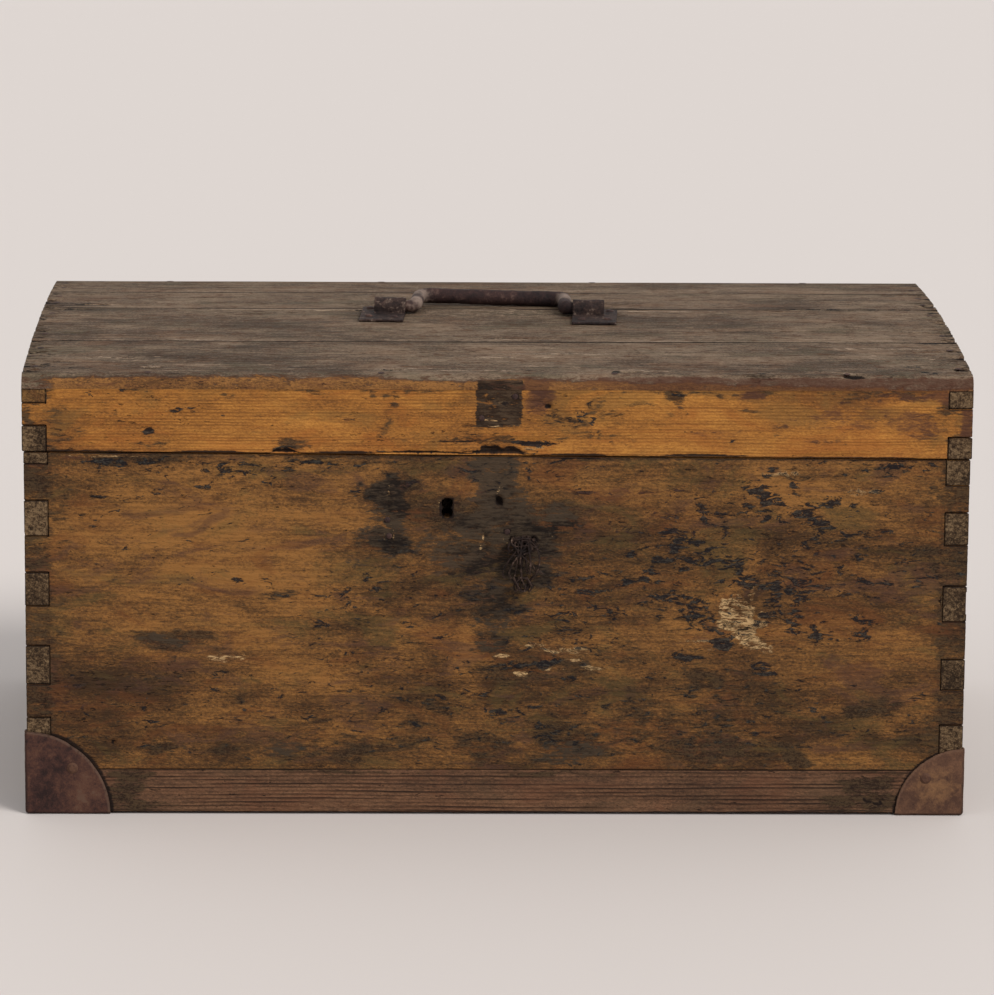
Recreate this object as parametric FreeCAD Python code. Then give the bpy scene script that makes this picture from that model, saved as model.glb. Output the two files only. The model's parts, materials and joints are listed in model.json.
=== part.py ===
import FreeCAD, Part
import math
import os

os.makedirs("parts", exist_ok=True)

# An old pine chest, dovetailed as one closed box and then sawn apart along the lid seam.
# Millimetres, +Z up, the front looks along -Y, origin in the middle of the foot print at floor level.

# Carcass
body_width = 700.0
body_depth = 420.0
wall = 18.0
lid_proud = 1.0
lower_plank_height = 33.0
back_joint_height = 140.0
bottom_thickness = 12.0
plank_gap = 0.4

# Seam where the box was sawn apart: its height in the middle, and how much lower it is on the right
seam_middle_height = 274.5
seam_fall = 4.2
seam_gap = 0.8

# Lid
lid_board_height = 49.5
crown_rise = 7.0
top_thickness = 10.5
nosing_radius = 8.5

# Dovetails: lower and upper edge of each tail. A share up to 1 is of the height of the seam, and what
# is past 1 is the share of the lid board above the seam.
tail_slope_share = 0.14
joint_gap = 0.3
tails_left_shares = (
    (0.178, 0.271),
    (0.364, 0.471),
    (0.583, 0.675),
    (0.776, 0.874),
    (0.974, 1.440),
    (1.782, 2.600),
)
tails_right_shares = (
    (0.167, 0.254),
    (0.353, 0.438),
    (0.544, 0.642),
    (0.756, 0.846),
    (0.922, 1.293),
    (1.729, 2.600),
)
# Depths of the three joints between the top planks, as shares of the depth from the front
top_joint_shares = (0.266, 0.593, 0.80)

# Corner caps
cap_sheet = 1.8
cap_left_reach = 62.0
cap_right_reach = 50.0
cap_edge_radius = 2.6
cap_nail_front_share = 0.55
cap_nail_side_share = 0.50

# Back hinges
hinge_inset = 135.0
leaf_width = 62.0
leaf_height = 36.0
leaf_sheet = 2.0
leaf_edge_gap = 0.7
leaf_nail_shares = ((-0.34, 0.45), (0.34, 0.45), (0.0, 0.80))
knuckle_radius = 4.5
knuckle_clearance = 0.4
knuckle_end_gap = 0.5
pin_radius = 1.8
pin_clearance = 0.05

# Bail handle
handle_offset = -2.0
handle_setback = 10.0
handle_skew = 3.5
plate_inner = 65.0
plate_width = 34.5
plate_front = 38.0
plate_back = 20.0
plate_sheet = 2.2
boss_width = 24.5
trunnion_radius = 4.6
trunnion_clearance = 0.3
pivot_height = 6.2
arm_offset = 58.0
arm_length = 47.0
arm_radius = 5.4
elbow_radius = 5.8
grip_radius = 5.2
grip_drop = 1.0
grip_tilt = 2.5
trunnion_end_gap = 1.5
handle_plate_nail_shares = ((0.22, -0.68), (0.80, -0.62), (0.82, 0.60))

# Lock
key_offset = -37.0
key_drop = 39.5
keyhole_radius = 4.0
keyhole_spread = 3.4
case_width = 84.0
case_low = 30.0
case_margin = 7.5
case_depth = 16.0
case_sheet = 1.5
case_flange = 12.0
bolt_margin = 5.5
bolt_room = 25.5
bolt_height = 8.0
bolt_thickness = 4.0
bolt_rise = 21.0
bolt_play = 0.1
talon_width = 6.0
talon_depth = 2.5
rail_height = 2.0
spring_sheet = 0.8
spring_width = 5.0
spring_length = 30.0
spring_bow = 2.4
spring_foot = 1.6
strike_sheet = 3.0
strike_gap = 2.0
strike_ear = 10.0
strike_plate_width = 46.0
strike_plate_height = 20.0
strike_plate_sheet = 2.5
strike_drop = 6.0
eye_width = 6.0
eye_height = 10.0
slot_play = 1.5
strike_nail_shares = (-0.38, 0.42)
strike_nail_rise_share = 0.62
lock_nail_rise_shares = (0.2, 0.8)

# Staple on the front and the wire that hangs on it
staple_offset = 19.6
staple_drop = 63.0
staple_span = 16.0
staple_radius = 1.5
staple_stand = 5.0
staple_bite = 14.0
wire_radius = 0.9
wire_play = 0.4
wire_drop = 26.0
knot_radius = 5.6
knot_half_thickness = 3.9

# Stumps of old nails: place across and height, as shares of the body's width and the lid edge's height
stump_shares = ((0.011, 0.670), (-0.114, 0.660), (-0.116, 0.698))
lid_stump_shares = ((0.018, 0.985), (-0.017, 0.935))

# Rows of nails
top_nail_inset = 9.0
top_nail_margin = 26.0
top_nail_pitch = 172.0
bottom_nail_pitch = 150.0
bottom_nail_side_pitch = 64.0
lock_nail_inset = 6.0

# Nails: head radius, head height, shank radius and shank length
small_nail = (2.6, 0.7, 1.0, 24.0)
cap_nail = (4.2, 1.0, 1.6, 14.0)
hinge_nail = (3.6, 1.0, 1.4, 13.0)
handle_nail = (3.4, 1.1, 1.6, 11.0)
lock_nail = (3.0, 0.9, 1.3, 12.0)
stump_nail = (2.2, 0.6, 1.2, 12.0)
head_taper_share = 0.6
overrun = 5.0

# Places that follow from the sizes above
wood_low = cap_sheet
half_width = body_width / 2
lid_half_width = half_width + lid_proud
lid_edge_height = seam_middle_height + lid_board_height
ring_radius = staple_radius + wire_play + wire_radius
wire_reach = staple_stand + max(ring_radius + wire_radius, knot_half_thickness)
front_reach = max(wire_reach, cap_sheet + cap_nail[1])
knuckle_reach = knuckle_clearance + 2 * knuckle_radius
total_depth = front_reach + body_depth + knuckle_reach
front_y = -total_depth / 2 + front_reach
back_y = front_y + body_depth
middle_y = (front_y + back_y) / 2
inner_front_y = front_y + wall
inner_back_y = back_y - wall
lower_joint_z = wood_low + lower_plank_height
crown_top_z = lid_edge_height + crown_rise + top_thickness
hinge_offset = half_width - hinge_inset


def vec(x, y, z):
    return FreeCAD.Vector(x, y, z)


def block(x0, x1, y0, y1, z0, z1):
    """A box between two corners, given in either order."""
    xs, ys, zs = sorted((x0, x1)), sorted((y0, y1)), sorted((z0, z1))
    return Part.makeBox(xs[1] - xs[0], ys[1] - ys[0], zs[1] - zs[0], vec(xs[0], ys[0], zs[0]))


def prism(points, travel):
    """A closed outline pushed along a vector."""
    wire = Part.makePolygon([vec(*p) for p in points] + [vec(*points[0])])
    return Part.Face(wire).extrude(travel)


def rod(start, end, radius):
    """A round bar from one point to another."""
    way = vec(*end) - vec(*start)
    return Part.makeCylinder(radius, way.Length, vec(*start), way)


def ball(centre, radius):
    return Part.makeSphere(radius, vec(*centre))


def only_solid(shape):
    """The single solid of a cut result, without the compound around it."""
    return shape.Solids[0] if len(shape.Solids) == 1 else shape


def joined(first, others):
    """One solid out of several that meet."""
    return only_solid(first.fuse(others).removeSplitter())


def seam_height(x):
    """Height of the saw cut at a place across the front."""
    return seam_middle_height - seam_fall * x / body_width


parts = {}


# Boards of the closed box
def below_seam():
    """Everything under the saw cut."""
    x = lid_half_width + overrun
    points = (
        (-x, front_y - overrun, -overrun),
        (x, front_y - overrun, -overrun),
        (x, front_y - overrun, seam_height(x) - seam_gap / 2),
        (-x, front_y - overrun, seam_height(-x) - seam_gap / 2),
    )
    return prism(points, vec(0, body_depth + 2 * overrun, 0))


def crown_edge(rise_from):
    """The arc of the crowned top across the depth, at a height above the lid edge."""
    low = lid_edge_height + rise_from
    return Part.Arc(vec(0, front_y, low), vec(0, middle_y, low + crown_rise), vec(0, back_y, low)).toShape()


def crown_band(low_edge, high_edge, width):
    """The solid between two edges that run across the depth, centred on the middle of the chest."""
    low_start, low_end = low_edge.Vertexes[0].Point, low_edge.Vertexes[-1].Point
    high_start, high_end = high_edge.Vertexes[0].Point, high_edge.Vertexes[-1].Point
    sides = [Part.makeLine(low_end, high_end), Part.makeLine(high_start, low_start)]
    wire = Part.Wire(Part.__sortEdges__([low_edge, high_edge] + sides))
    band = Part.Face(wire).extrude(vec(width, 0, 0))
    band.translate(vec(-width / 2, 0, 0))
    return band


def above_seam():
    """Everything over the saw cut and under the top planks."""
    width = 2 * lid_half_width + 2 * overrun
    floor_z = seam_middle_height - seam_fall - overrun
    floor_line = Part.makeLine(vec(0, front_y, floor_z), vec(0, back_y, floor_z))
    under_top = crown_band(floor_line, crown_edge(0), width)
    saw = below_seam()
    saw.translate(vec(0, 0, seam_gap))
    return under_top.cut(saw)


def tail_height(share):
    """Height of a tail's edge from its share, which goes past 1 on the lid."""
    if share < 1:
        return share * seam_middle_height
    return seam_middle_height + (share - 1) * lid_board_height


def tails(shares, side, half, grow):
    """The dovetail tails of one side board, at its front and its back, each side grown by a gap."""
    solids = []
    flare = wall * tail_slope_share
    for face_y, root_y in ((front_y, inner_front_y), (back_y, inner_back_y)):
        for low_share, high_share in shares:
            low = tail_height(low_share) - grow
            high = tail_height(high_share) + grow
            outline = (
                (side * half, face_y, low),
                (side * half, face_y, high),
                (side * half, root_y, high - flare),
                (side * half, root_y, low + flare),
            )
            solids.append(prism(outline, vec(-side * wall, 0, 0)))
    return solids


def side_blank(shares, side, half):
    """A side board with its tails, from the floor to above the lid edge."""
    top = crown_top_z
    board = block(side * half, side * (half - wall), inner_front_y, inner_back_y, wood_low, top)
    return joined(board, tails(shares, side, half, 0))


def end_blank(near_y, far_y, half):
    """A front or back board with the sockets for the tails cut out of both ends."""
    board = block(-half, half, near_y, far_y, wood_low, crown_top_z)
    sockets = tails(tails_left_shares, -1, half, joint_gap) + tails(tails_right_shares, 1, half, joint_gap)
    return board.cut(sockets)


def height_slice(low, high):
    x = lid_half_width + overrun
    return block(-x, x, front_y - overrun, back_y + overrun, low, high)


def build_carcass():
    under = below_seam()
    front = end_blank(front_y, inner_front_y, half_width).common(under)
    back = end_blank(inner_back_y, back_y, half_width).common(under)
    high = crown_top_z
    parts["front_board"] = only_solid(front.common(height_slice(lower_joint_z, high)))
    parts["front_lower_plank"] = only_solid(front.common(height_slice(0, lower_joint_z)))
    parts["back_board_upper"] = only_solid(back.common(height_slice(back_joint_height, high)))
    parts["back_board_lower"] = only_solid(back.common(height_slice(0, back_joint_height)))
    parts["left_side_board"] = only_solid(side_blank(tails_left_shares, -1, half_width).common(under))
    parts["right_side_board"] = only_solid(side_blank(tails_right_shares, 1, half_width).common(under))


def build_bottom():
    names = ("bottom_plank_front", "bottom_plank_middle", "bottom_plank_back")
    inner = half_width - wall
    width = (inner_back_y - inner_front_y) / len(names)
    for i, name in enumerate(names):
        near = inner_front_y + i * width + (plank_gap / 2 if i else 0)
        far = inner_front_y + (i + 1) * width - (plank_gap / 2 if i < len(names) - 1 else 0)
        parts[name] = block(-inner, inner, near, far, wood_low, wood_low + bottom_thickness)


def build_lid():
    over = above_seam()
    front = end_blank(front_y, inner_front_y, lid_half_width)
    back = end_blank(inner_back_y, back_y, lid_half_width)
    left = side_blank(tails_left_shares, -1, lid_half_width)
    right = side_blank(tails_right_shares, 1, lid_half_width)
    parts["lid_front_board"] = only_solid(front.common(over))
    parts["lid_back_board"] = only_solid(back.common(over))
    parts["lid_left_end"] = only_solid(left.common(over))
    parts["lid_right_end"] = only_solid(right.common(over))


def top_edges(shape):
    """The long upper edges at the front and the back of the top, which the nosing rounds."""
    found = []
    for edge in shape.Edges:
        box = edge.BoundBox
        on_face = min(abs(box.YMax - front_y), abs(box.YMin - back_y)) < plank_gap
        is_high = box.ZMin > lid_edge_height + top_thickness / 2
        if on_face and is_high and box.XLength > half_width:
            found.append(edge)
    return found


top_planks = ["lid_top_plank_%d" % (i + 1) for i in range(len(top_joint_shares) + 1)]


def build_top():
    width = 2 * lid_half_width
    band = crown_band(crown_edge(0), crown_edge(top_thickness), width)
    band = band.makeFillet(nosing_radius, top_edges(band))
    joints = [front_y + share * body_depth for share in top_joint_shares]
    edges = [front_y - overrun] + joints + [back_y + overrun]
    for i, name in enumerate(top_planks):
        near = edges[i] + (plank_gap / 2 if i else 0)
        far = edges[i + 1] - (plank_gap / 2 if i < len(joints) else 0)
        cut = block(-width, width, near, far, seam_middle_height, crown_top_z + overrun)
        parts[name] = only_solid(band.common(cut))


# Nails
def nail(place, way, size):
    """A nail with its head on a surface: its place there and the way that its shank points."""
    head_radius, head_height, shank_radius, shank_length = size
    start = vec(*place)
    inward = vec(*way)
    head = Part.makeCone(head_radius, head_radius * head_taper_share, head_height, start, inward * -1)
    shank = Part.makeCylinder(shank_radius, shank_length, start, inward)
    return head.fuse(shank).removeSplitter().Solids[0]


def drive(name, spots, size, into):
    """Makes one node of nails, and the holes for them in the pieces that they go through."""
    nails = [nail(place, way, size) for place, way in spots]
    parts[name] = Part.Compound(nails)
    for piece in into:
        parts[piece] = only_solid(parts[piece].cut(nails))


def top_surface(y):
    """Height of the crowned top at a depth."""
    half = body_depth / 2
    radius = (half * half + crown_rise * crown_rise) / (2 * crown_rise)
    offset = y - middle_y
    return crown_top_z - radius + math.sqrt(radius * radius - offset * offset)


def build_top_nails():
    joints = [front_y + share * body_depth for share in top_joint_shares]
    edges = [front_y] + joints + [back_y]
    spots = []
    for near, far in zip(edges, edges[1:]):
        for y in (near + top_nail_margin, far - top_nail_margin):
            for side in (-1, 1):
                x = side * (lid_half_width - top_nail_inset)
                spots.append(((x, y, top_surface(y)), (0, 0, -1)))
    count = 1 + int(2 * (lid_half_width - top_nail_margin) / top_nail_pitch)
    for i in range(count):
        x = (i - (count - 1) / 2) * top_nail_pitch
        for y in (front_y + top_nail_inset, back_y - top_nail_inset):
            spots.append(((x, y, top_surface(y)), (0, 0, -1)))
    boards = ["lid_front_board", "lid_back_board", "lid_left_end", "lid_right_end"]
    drive("lid_top_nails", spots, small_nail, top_planks + boards)


def build_bottom_nails():
    """Nails through the back and the sides; the front is left clean."""
    z = wood_low + bottom_thickness / 2
    spots = []
    count = int((half_width - cap_left_reach) / bottom_nail_pitch)
    for i in range(-count, count + 1):
        spots.append(((i * bottom_nail_pitch, back_y, z), (0, -1, 0)))
    reach = (inner_back_y - inner_front_y) / 2 - cap_left_reach
    rows = int(reach / bottom_nail_side_pitch)
    for i in range(-rows, rows + 1):
        y = middle_y + i * bottom_nail_side_pitch
        spots.append(((-half_width, y, z), (1, 0, 0)))
        spots.append(((half_width, y, z), (-1, 0, 0)))
    floor = ["bottom_plank_front", "bottom_plank_middle", "bottom_plank_back"]
    walls = ["back_board_lower", "left_side_board", "right_side_board"]
    drive("bottom_nails", spots, small_nail, floor + walls)


# Corner caps
def cap_shape(reach):
    """Three quarter-round leaves of sheet iron on a corner whose wood fills the +X, +Y, +Z octant."""
    outer = -cap_sheet
    full = reach + cap_sheet
    corner = vec(outer, outer, outer)
    hull = block(outer, reach, outer, reach, outer, reach)
    on_corner = []
    for edge in hull.Edges:
        box = edge.BoundBox
        lows = ((box.XMin, box.XLength), (box.YMin, box.YLength), (box.ZMin, box.ZLength))
        if sum(1 for low, length in lows if low < 0 and length < cap_sheet) == 2:
            on_corner.append(edge)
    hull = hull.makeFillet(cap_edge_radius, on_corner)
    shell = hull.cut(block(0, full, 0, full, 0, full))
    leaves = []
    for axis in (vec(1, 0, 0), vec(0, 1, 0), vec(0, 0, 1)):
        disc = Part.makeCylinder(full, cap_sheet, corner, axis)
        leaves.append(shell.common(disc))
    return only_solid(leaves[0].fuse(leaves[1:]).removeSplitter())


def build_caps():
    spots = []
    for side, side_name, reach in ((-1, "left", cap_left_reach), (1, "right", cap_right_reach)):
        for y_face, way, end_name in ((front_y, 1, "front"), (back_y, -1, "back")):
            cap = cap_shape(reach)
            if side == 1:
                cap = cap.mirror(vec(0, 0, 0), vec(1, 0, 0))
            if way == -1:
                cap = cap.mirror(vec(0, 0, 0), vec(0, 1, 0))
            cap.translate(vec(side * half_width, y_face, wood_low))
            name = "corner_cap_%s_%s" % (end_name, side_name)
            parts[name] = cap
            away = reach * cap_nail_front_share
            z = wood_low + away
            x = side * (half_width - away)
            spots.append(((x, y_face - way * cap_sheet, z), (0, way, 0)))
            y = y_face + way * reach * cap_nail_side_share
            spots.append(((side * (half_width + cap_sheet), y, z), (-side, 0, 0)))
    caps = [name for name in parts if name.startswith("corner_cap")]
    boards = ["front_board", "front_lower_plank", "back_board_lower", "left_side_board", "right_side_board"]
    drive("corner_cap_nails", spots, cap_nail, caps + boards)


# Hinges
hinge_y = back_y + knuckle_clearance + knuckle_radius


def knuckle(x, start, end):
    """One round knuckle of a hinge, with its bore."""
    barrel = rod((x + start, hinge_y, seam_middle_height), (x + end, hinge_y, seam_middle_height), knuckle_radius)
    bore = rod(
        (x + start - overrun, hinge_y, seam_middle_height),
        (x + end + overrun, hinge_y, seam_middle_height),
        pin_radius + pin_clearance,
    )
    return barrel, bore


def hinge_leaf(x, side, spans):
    """A leaf nailed flat on the back: side is 1 for the lid leaf and -1 for the body leaf."""
    edge = knuckle_radius + leaf_edge_gap
    plate = block(
        x - leaf_width / 2,
        x + leaf_width / 2,
        back_y,
        back_y + leaf_sheet,
        seam_middle_height + side * edge,
        seam_middle_height + side * leaf_height,
    )
    pieces = []
    bores = []
    for start, end in spans:
        barrel, bore = knuckle(x, start, end)
        neck_end = seam_middle_height + side * edge
        neck = block(x + start, x + end, back_y, back_y + leaf_sheet, neck_end, seam_middle_height)
        pieces += [barrel, neck]
        bores.append(bore)
    leaf = plate.fuse(pieces).removeSplitter()
    return only_solid(leaf.cut(bores))


def build_hinges():
    end = leaf_width / 2
    inner = leaf_width / 6
    body_spans = ((-end, -inner - knuckle_end_gap), (inner + knuckle_end_gap, end))
    lid_spans = ((-inner, inner),)
    body_spots = []
    lid_spots = []
    for side, name in ((-1, "left"), (1, "right")):
        x = side * hinge_offset
        parts["hinge_%s_body_leaf" % name] = hinge_leaf(x, -1, body_spans)
        parts["hinge_%s_lid_leaf" % name] = hinge_leaf(x, 1, lid_spans)
        parts["hinge_%s_pin" % name] = rod(
            (x - end, hinge_y, seam_middle_height), (x + end, hinge_y, seam_middle_height), pin_radius
        )
        for along, out in leaf_nail_shares:
            place = (x + along * leaf_width, back_y + leaf_sheet)
            body_spots.append(((place[0], place[1], seam_middle_height - out * leaf_height), (0, -1, 0)))
            lid_spots.append(((place[0], place[1], seam_middle_height + out * leaf_height), (0, -1, 0)))
    drive(
        "hinge_body_nails",
        body_spots,
        hinge_nail,
        ["hinge_left_body_leaf", "hinge_right_body_leaf", "back_board_upper"],
    )
    drive(
        "hinge_lid_nails",
        lid_spots,
        hinge_nail,
        ["hinge_left_lid_leaf", "hinge_right_lid_leaf", "lid_back_board"],
    )


# Bail handle
handle_y = middle_y + handle_setback


def placed_handle(shape):
    """Carries a shape from the handle's own frame, pivot line along X, to its skewed place on the lid."""
    shape.rotate(vec(0, 0, 0), vec(0, 0, 1), -handle_skew)
    shape.translate(vec(handle_offset, handle_y, crown_top_z))
    return shape


def handle_point(x, y, z):
    turn = math.radians(-handle_skew)
    across = x * math.cos(turn) - y * math.sin(turn)
    along = x * math.sin(turn) + y * math.cos(turn)
    return (handle_offset + across, handle_y + along, crown_top_z + z)


def handle_plate(side):
    """A flat plate with a raised half barrel over the trunnion of the bail."""
    inner = side * plate_inner
    outer = side * (plate_inner + plate_width)
    boss_end = side * (plate_inner + boss_width)
    hollow_radius = trunnion_radius + trunnion_clearance
    boss_radius = hollow_radius + plate_sheet
    plate = block(inner, outer, -plate_front, plate_back, 0, plate_sheet)
    barrel = rod((inner, 0, pivot_height), (boss_end, 0, pivot_height), boss_radius)
    foot = block(inner, boss_end, -boss_radius, boss_radius, 0, pivot_height)
    roof = barrel.common(block(inner, boss_end, -boss_radius, boss_radius, 0, pivot_height + boss_radius))
    shell = plate.fuse([roof, foot])
    hollow_end = side * (plate_inner + boss_width - plate_sheet)
    start = side * (plate_inner - overrun)
    hollow = rod((start, 0, pivot_height), (hollow_end, 0, pivot_height), hollow_radius)
    trench = block(start, hollow_end, -hollow_radius, hollow_radius, -overrun, pivot_height)
    return placed_handle(only_solid(shell.removeSplitter().cut([hollow, trench])))


def build_handle():
    spots = []
    for side, name in ((-1, "left"), (1, "right")):
        parts["handle_plate_%s" % name] = handle_plate(side)
        for along, deep in handle_plate_nail_shares:
            x = side * (plate_inner + along * plate_width)
            y = deep * (plate_front if deep < 0 else plate_back)
            spots.append((handle_point(x, y, plate_sheet), (0, 0, -1)))
    drive(
        "handle_nails",
        spots,
        handle_nail,
        ["handle_plate_left", "handle_plate_right"] + top_planks,
    )
    end = plate_inner + boss_width - plate_sheet - trunnion_end_gap
    pieces = []
    grip_ends = []
    for side in (-1, 1):
        elbow = (side * arm_offset, 0, pivot_height)
        lift = grip_tilt if side == -1 else 0
        grip_end = (side * arm_offset, arm_length, pivot_height - grip_drop + lift)
        pieces.append(rod(elbow, (side * end, 0, pivot_height), trunnion_radius))
        pieces.append(ball(elbow, elbow_radius))
        pieces.append(rod(elbow, grip_end, arm_radius))
        pieces.append(ball(grip_end, arm_radius))
        grip_ends.append(grip_end)
    grip = rod(grip_ends[0], grip_ends[1], grip_radius)
    parts["handle_bail"] = placed_handle(joined(grip, pieces))


# Lock
key_height = seam_middle_height - key_drop
bolt_y = inner_front_y + case_depth / 2
bolt_z = key_height + bolt_rise
bolt_start_x = key_offset - case_width / 2 + case_sheet + bolt_margin
bolt_tip = key_offset + case_width / 2 - case_sheet - bolt_room
strike_x = bolt_tip + strike_gap
case_low_z = key_height - case_low
case_high_z = seam_middle_height - case_margin


def build_keyhole():
    """Two round holes bored one above the other, which run together."""
    near = front_y - overrun
    far = inner_front_y + overrun
    holes = []
    for side in (-1, 1):
        z = key_height + side * keyhole_spread
        holes.append(rod((key_offset, near, z), (key_offset, far, z), keyhole_radius))
    parts["front_board"] = only_solid(parts["front_board"].cut(holes))


def lock_case():
    """A shallow sheet-iron box, open to the board, with a flange to nail on each side."""
    x0 = key_offset - case_width / 2
    x1 = key_offset + case_width / 2
    back = inner_front_y + case_depth
    outer = block(x0, x1, inner_front_y, back, case_low_z, case_high_z)
    hollow = block(
        x0 + case_sheet,
        x1 - case_sheet,
        inner_front_y - overrun,
        back - case_sheet,
        case_low_z + case_sheet,
        case_high_z - case_sheet,
    )
    shell = outer.cut(hollow)
    flange = block(
        x0 - case_flange, x1 + case_flange, inner_front_y, inner_front_y + case_sheet, case_low_z, case_high_z
    ).cut(hollow)
    rail_top = bolt_z - bolt_height / 2 - bolt_play
    rail = block(
        x0 + case_sheet,
        strike_x - strike_gap,
        bolt_y - bolt_thickness,
        back - case_sheet,
        rail_top - rail_height,
        rail_top,
    )
    gate = block(
        strike_x - slot_play,
        strike_x + strike_sheet + slot_play,
        bolt_y - strike_ear / 2 - slot_play,
        bolt_y + strike_ear / 2 + slot_play,
        case_high_z - case_sheet - overrun,
        case_high_z + overrun,
    )
    return only_solid(shell.fuse([flange, rail]).removeSplitter().cut(gate))


def lock_bolt():
    """A flat bar with a notch in its lower edge, where the bit of the key catches."""
    bar = block(
        bolt_start_x,
        bolt_tip,
        bolt_y - bolt_thickness / 2,
        bolt_y + bolt_thickness / 2,
        bolt_z - bolt_height / 2,
        bolt_z + bolt_height / 2,
    )
    talon = block(
        key_offset - talon_width / 2,
        key_offset + talon_width / 2,
        bolt_y - bolt_thickness,
        bolt_y + bolt_thickness,
        bolt_z - bolt_height / 2 - overrun,
        bolt_z - bolt_height / 2 + talon_depth,
    )
    return only_solid(bar.cut(talon))


def lock_spring():
    """A bowed leaf spring between the bolt and the roof of the case."""
    x0 = bolt_start_x
    touch = bolt_z + bolt_height / 2 + bolt_play
    high = touch + spring_bow
    low_arc = Part.Arc(
        vec(x0, 0, high), vec(x0 + spring_length / 2, 0, touch), vec(x0 + spring_length, 0, high)
    ).toShape()
    lift = vec(0, 0, spring_sheet)
    high_arc = low_arc.copy()
    high_arc.translate(lift)
    sides = [
        Part.makeLine(vec(x0, 0, high), vec(x0, 0, high) + lift),
        Part.makeLine(vec(x0 + spring_length, 0, high), vec(x0 + spring_length, 0, high) + lift),
    ]
    wire = Part.Wire(Part.__sortEdges__([low_arc, high_arc] + sides))
    strip = Part.Face(wire).extrude(vec(0, spring_width, 0))
    strip.translate(vec(0, bolt_y - spring_width / 2, 0))
    foot = block(
        x0,
        x0 + spring_foot,
        bolt_y - spring_width / 2,
        bolt_y + spring_width / 2,
        high,
        case_high_z - case_sheet,
    )
    return joined(strip, [foot])


def lock_strike():
    """A plate on the lid board with an ear that drops into the lock, pierced for the bolt."""
    low = seam_height(strike_x) + seam_gap
    plate = block(
        strike_x - strike_plate_width / 2,
        strike_x + strike_plate_width / 2,
        inner_front_y,
        inner_front_y + strike_plate_sheet,
        low,
        low + strike_plate_height,
    )
    ear_low = bolt_z - eye_height / 2 - strike_sheet
    ear = block(
        strike_x,
        strike_x + strike_sheet,
        bolt_y - strike_ear / 2,
        bolt_y + strike_ear / 2,
        ear_low,
        low + strike_drop,
    )
    arm = block(
        strike_x,
        strike_x + strike_sheet,
        inner_front_y,
        bolt_y + strike_ear / 2,
        low,
        low + strike_drop,
    )
    eye = block(
        strike_x - overrun,
        strike_x + strike_sheet + overrun,
        bolt_y - eye_width / 2,
        bolt_y + eye_width / 2,
        bolt_z - eye_height / 2,
        bolt_z + eye_height / 2,
    )
    return only_solid(plate.fuse([ear, arm]).removeSplitter().cut(eye))


def build_lock():
    build_keyhole()
    parts["lock_case"] = lock_case()
    parts["lock_bolt"] = lock_bolt()
    parts["lock_spring"] = lock_spring()
    parts["lock_strike"] = lock_strike()
    spots = []
    height = case_high_z - case_low_z
    for side in (-1, 1):
        x = key_offset + side * (case_width / 2 + lock_nail_inset)
        for share in lock_nail_rise_shares:
            place = (x, inner_front_y + case_sheet, case_low_z + share * height)
            spots.append((place, (0, -1, 0)))
    drive("lock_nails", spots, lock_nail, ["lock_case", "front_board"])
    low = seam_height(strike_x) + seam_gap + strike_nail_rise_share * strike_plate_height
    strike_spots = []
    for share in strike_nail_shares:
        x = strike_x + share * strike_plate_width
        strike_spots.append(((x, inner_front_y + strike_plate_sheet, low), (0, -1, 0)))
    drive("lock_strike_nails", strike_spots, lock_nail, ["lock_strike", "lid_front_board"])


# Staple, wire and the stumps of the lost hasp
crown_y = front_y - staple_stand
staple_height = seam_middle_height - staple_drop


def build_staple():
    half = staple_span / 2
    pieces = []
    legs = []
    for side in (-1, 1):
        x = staple_offset + side * half
        leg = rod((x, crown_y, staple_height), (x, front_y + staple_bite, staple_height), staple_radius)
        pieces += [leg, ball((x, crown_y, staple_height), staple_radius)]
        legs.append(leg)
    crown = rod(
        (staple_offset - half, crown_y, staple_height),
        (staple_offset + half, crown_y, staple_height),
        staple_radius,
    )
    parts["hasp_staple"] = joined(crown, pieces)
    parts["front_board"] = only_solid(parts["front_board"].cut(legs))


def build_wire():
    """A closed loop of wire round the crown of the staple, with the knot of its ends below."""
    top = staple_height
    low = staple_height - wire_drop
    near = crown_y - ring_radius
    far = crown_y + ring_radius
    x = staple_offset
    upper = Part.makeTorus(
        ring_radius, wire_radius, vec(x, crown_y, top), vec(1, 0, 0)
    ).common(block(x - overrun, x + overrun, near - overrun, far + overrun, top, top + overrun))
    lens_radius = (knot_radius * knot_radius + knot_half_thickness * knot_half_thickness) / (
        2 * knot_half_thickness
    )
    shift = lens_radius - knot_half_thickness
    lens = ball((x, crown_y - shift, low), lens_radius).common(ball((x, crown_y + shift, low), lens_radius))
    strands = [rod((x, y, top), (x, y, low), wire_radius) for y in (near, far)]
    parts["wire_loop"] = joined(upper, strands + [lens])


def stump_spots(shares):
    spots = []
    for across, up in shares:
        spots.append(((across * body_width, front_y, up * lid_edge_height), (0, 1, 0)))
    return spots


def build_stumps():
    drive("old_hasp_nails", stump_spots(stump_shares), stump_nail, ["front_board"])
    drive("old_hasp_lid_nails", stump_spots(lid_stump_shares), stump_nail, ["lid_front_board"])


build_carcass()
build_bottom()
build_lid()
build_top()
build_top_nails()
build_bottom_nails()
build_caps()
build_hinges()
build_handle()
build_lock()
build_staple()
build_wire()
build_stumps()

for name, shape in parts.items():
    shape.exportStep("parts/%s.step" % name)
    print(name, len(shape.Solids), shape.isValid(), round(shape.Volume))
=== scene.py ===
# %% [markdown]
# # An old pine chest with iron corners
# The chest is dovetailed pine, sawn apart along a seam to make the lid, with sheet-iron corner caps, a
# forged bail handle and the scars of a lost hasp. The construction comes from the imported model. This lesson
# gives each board and each iron its worn shape and its finish, and never moves what the frame has placed.

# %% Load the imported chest
import json
import math

import bmesh
import bpy
import numpy as np
from mathutils import Matrix, Vector, noise


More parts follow.
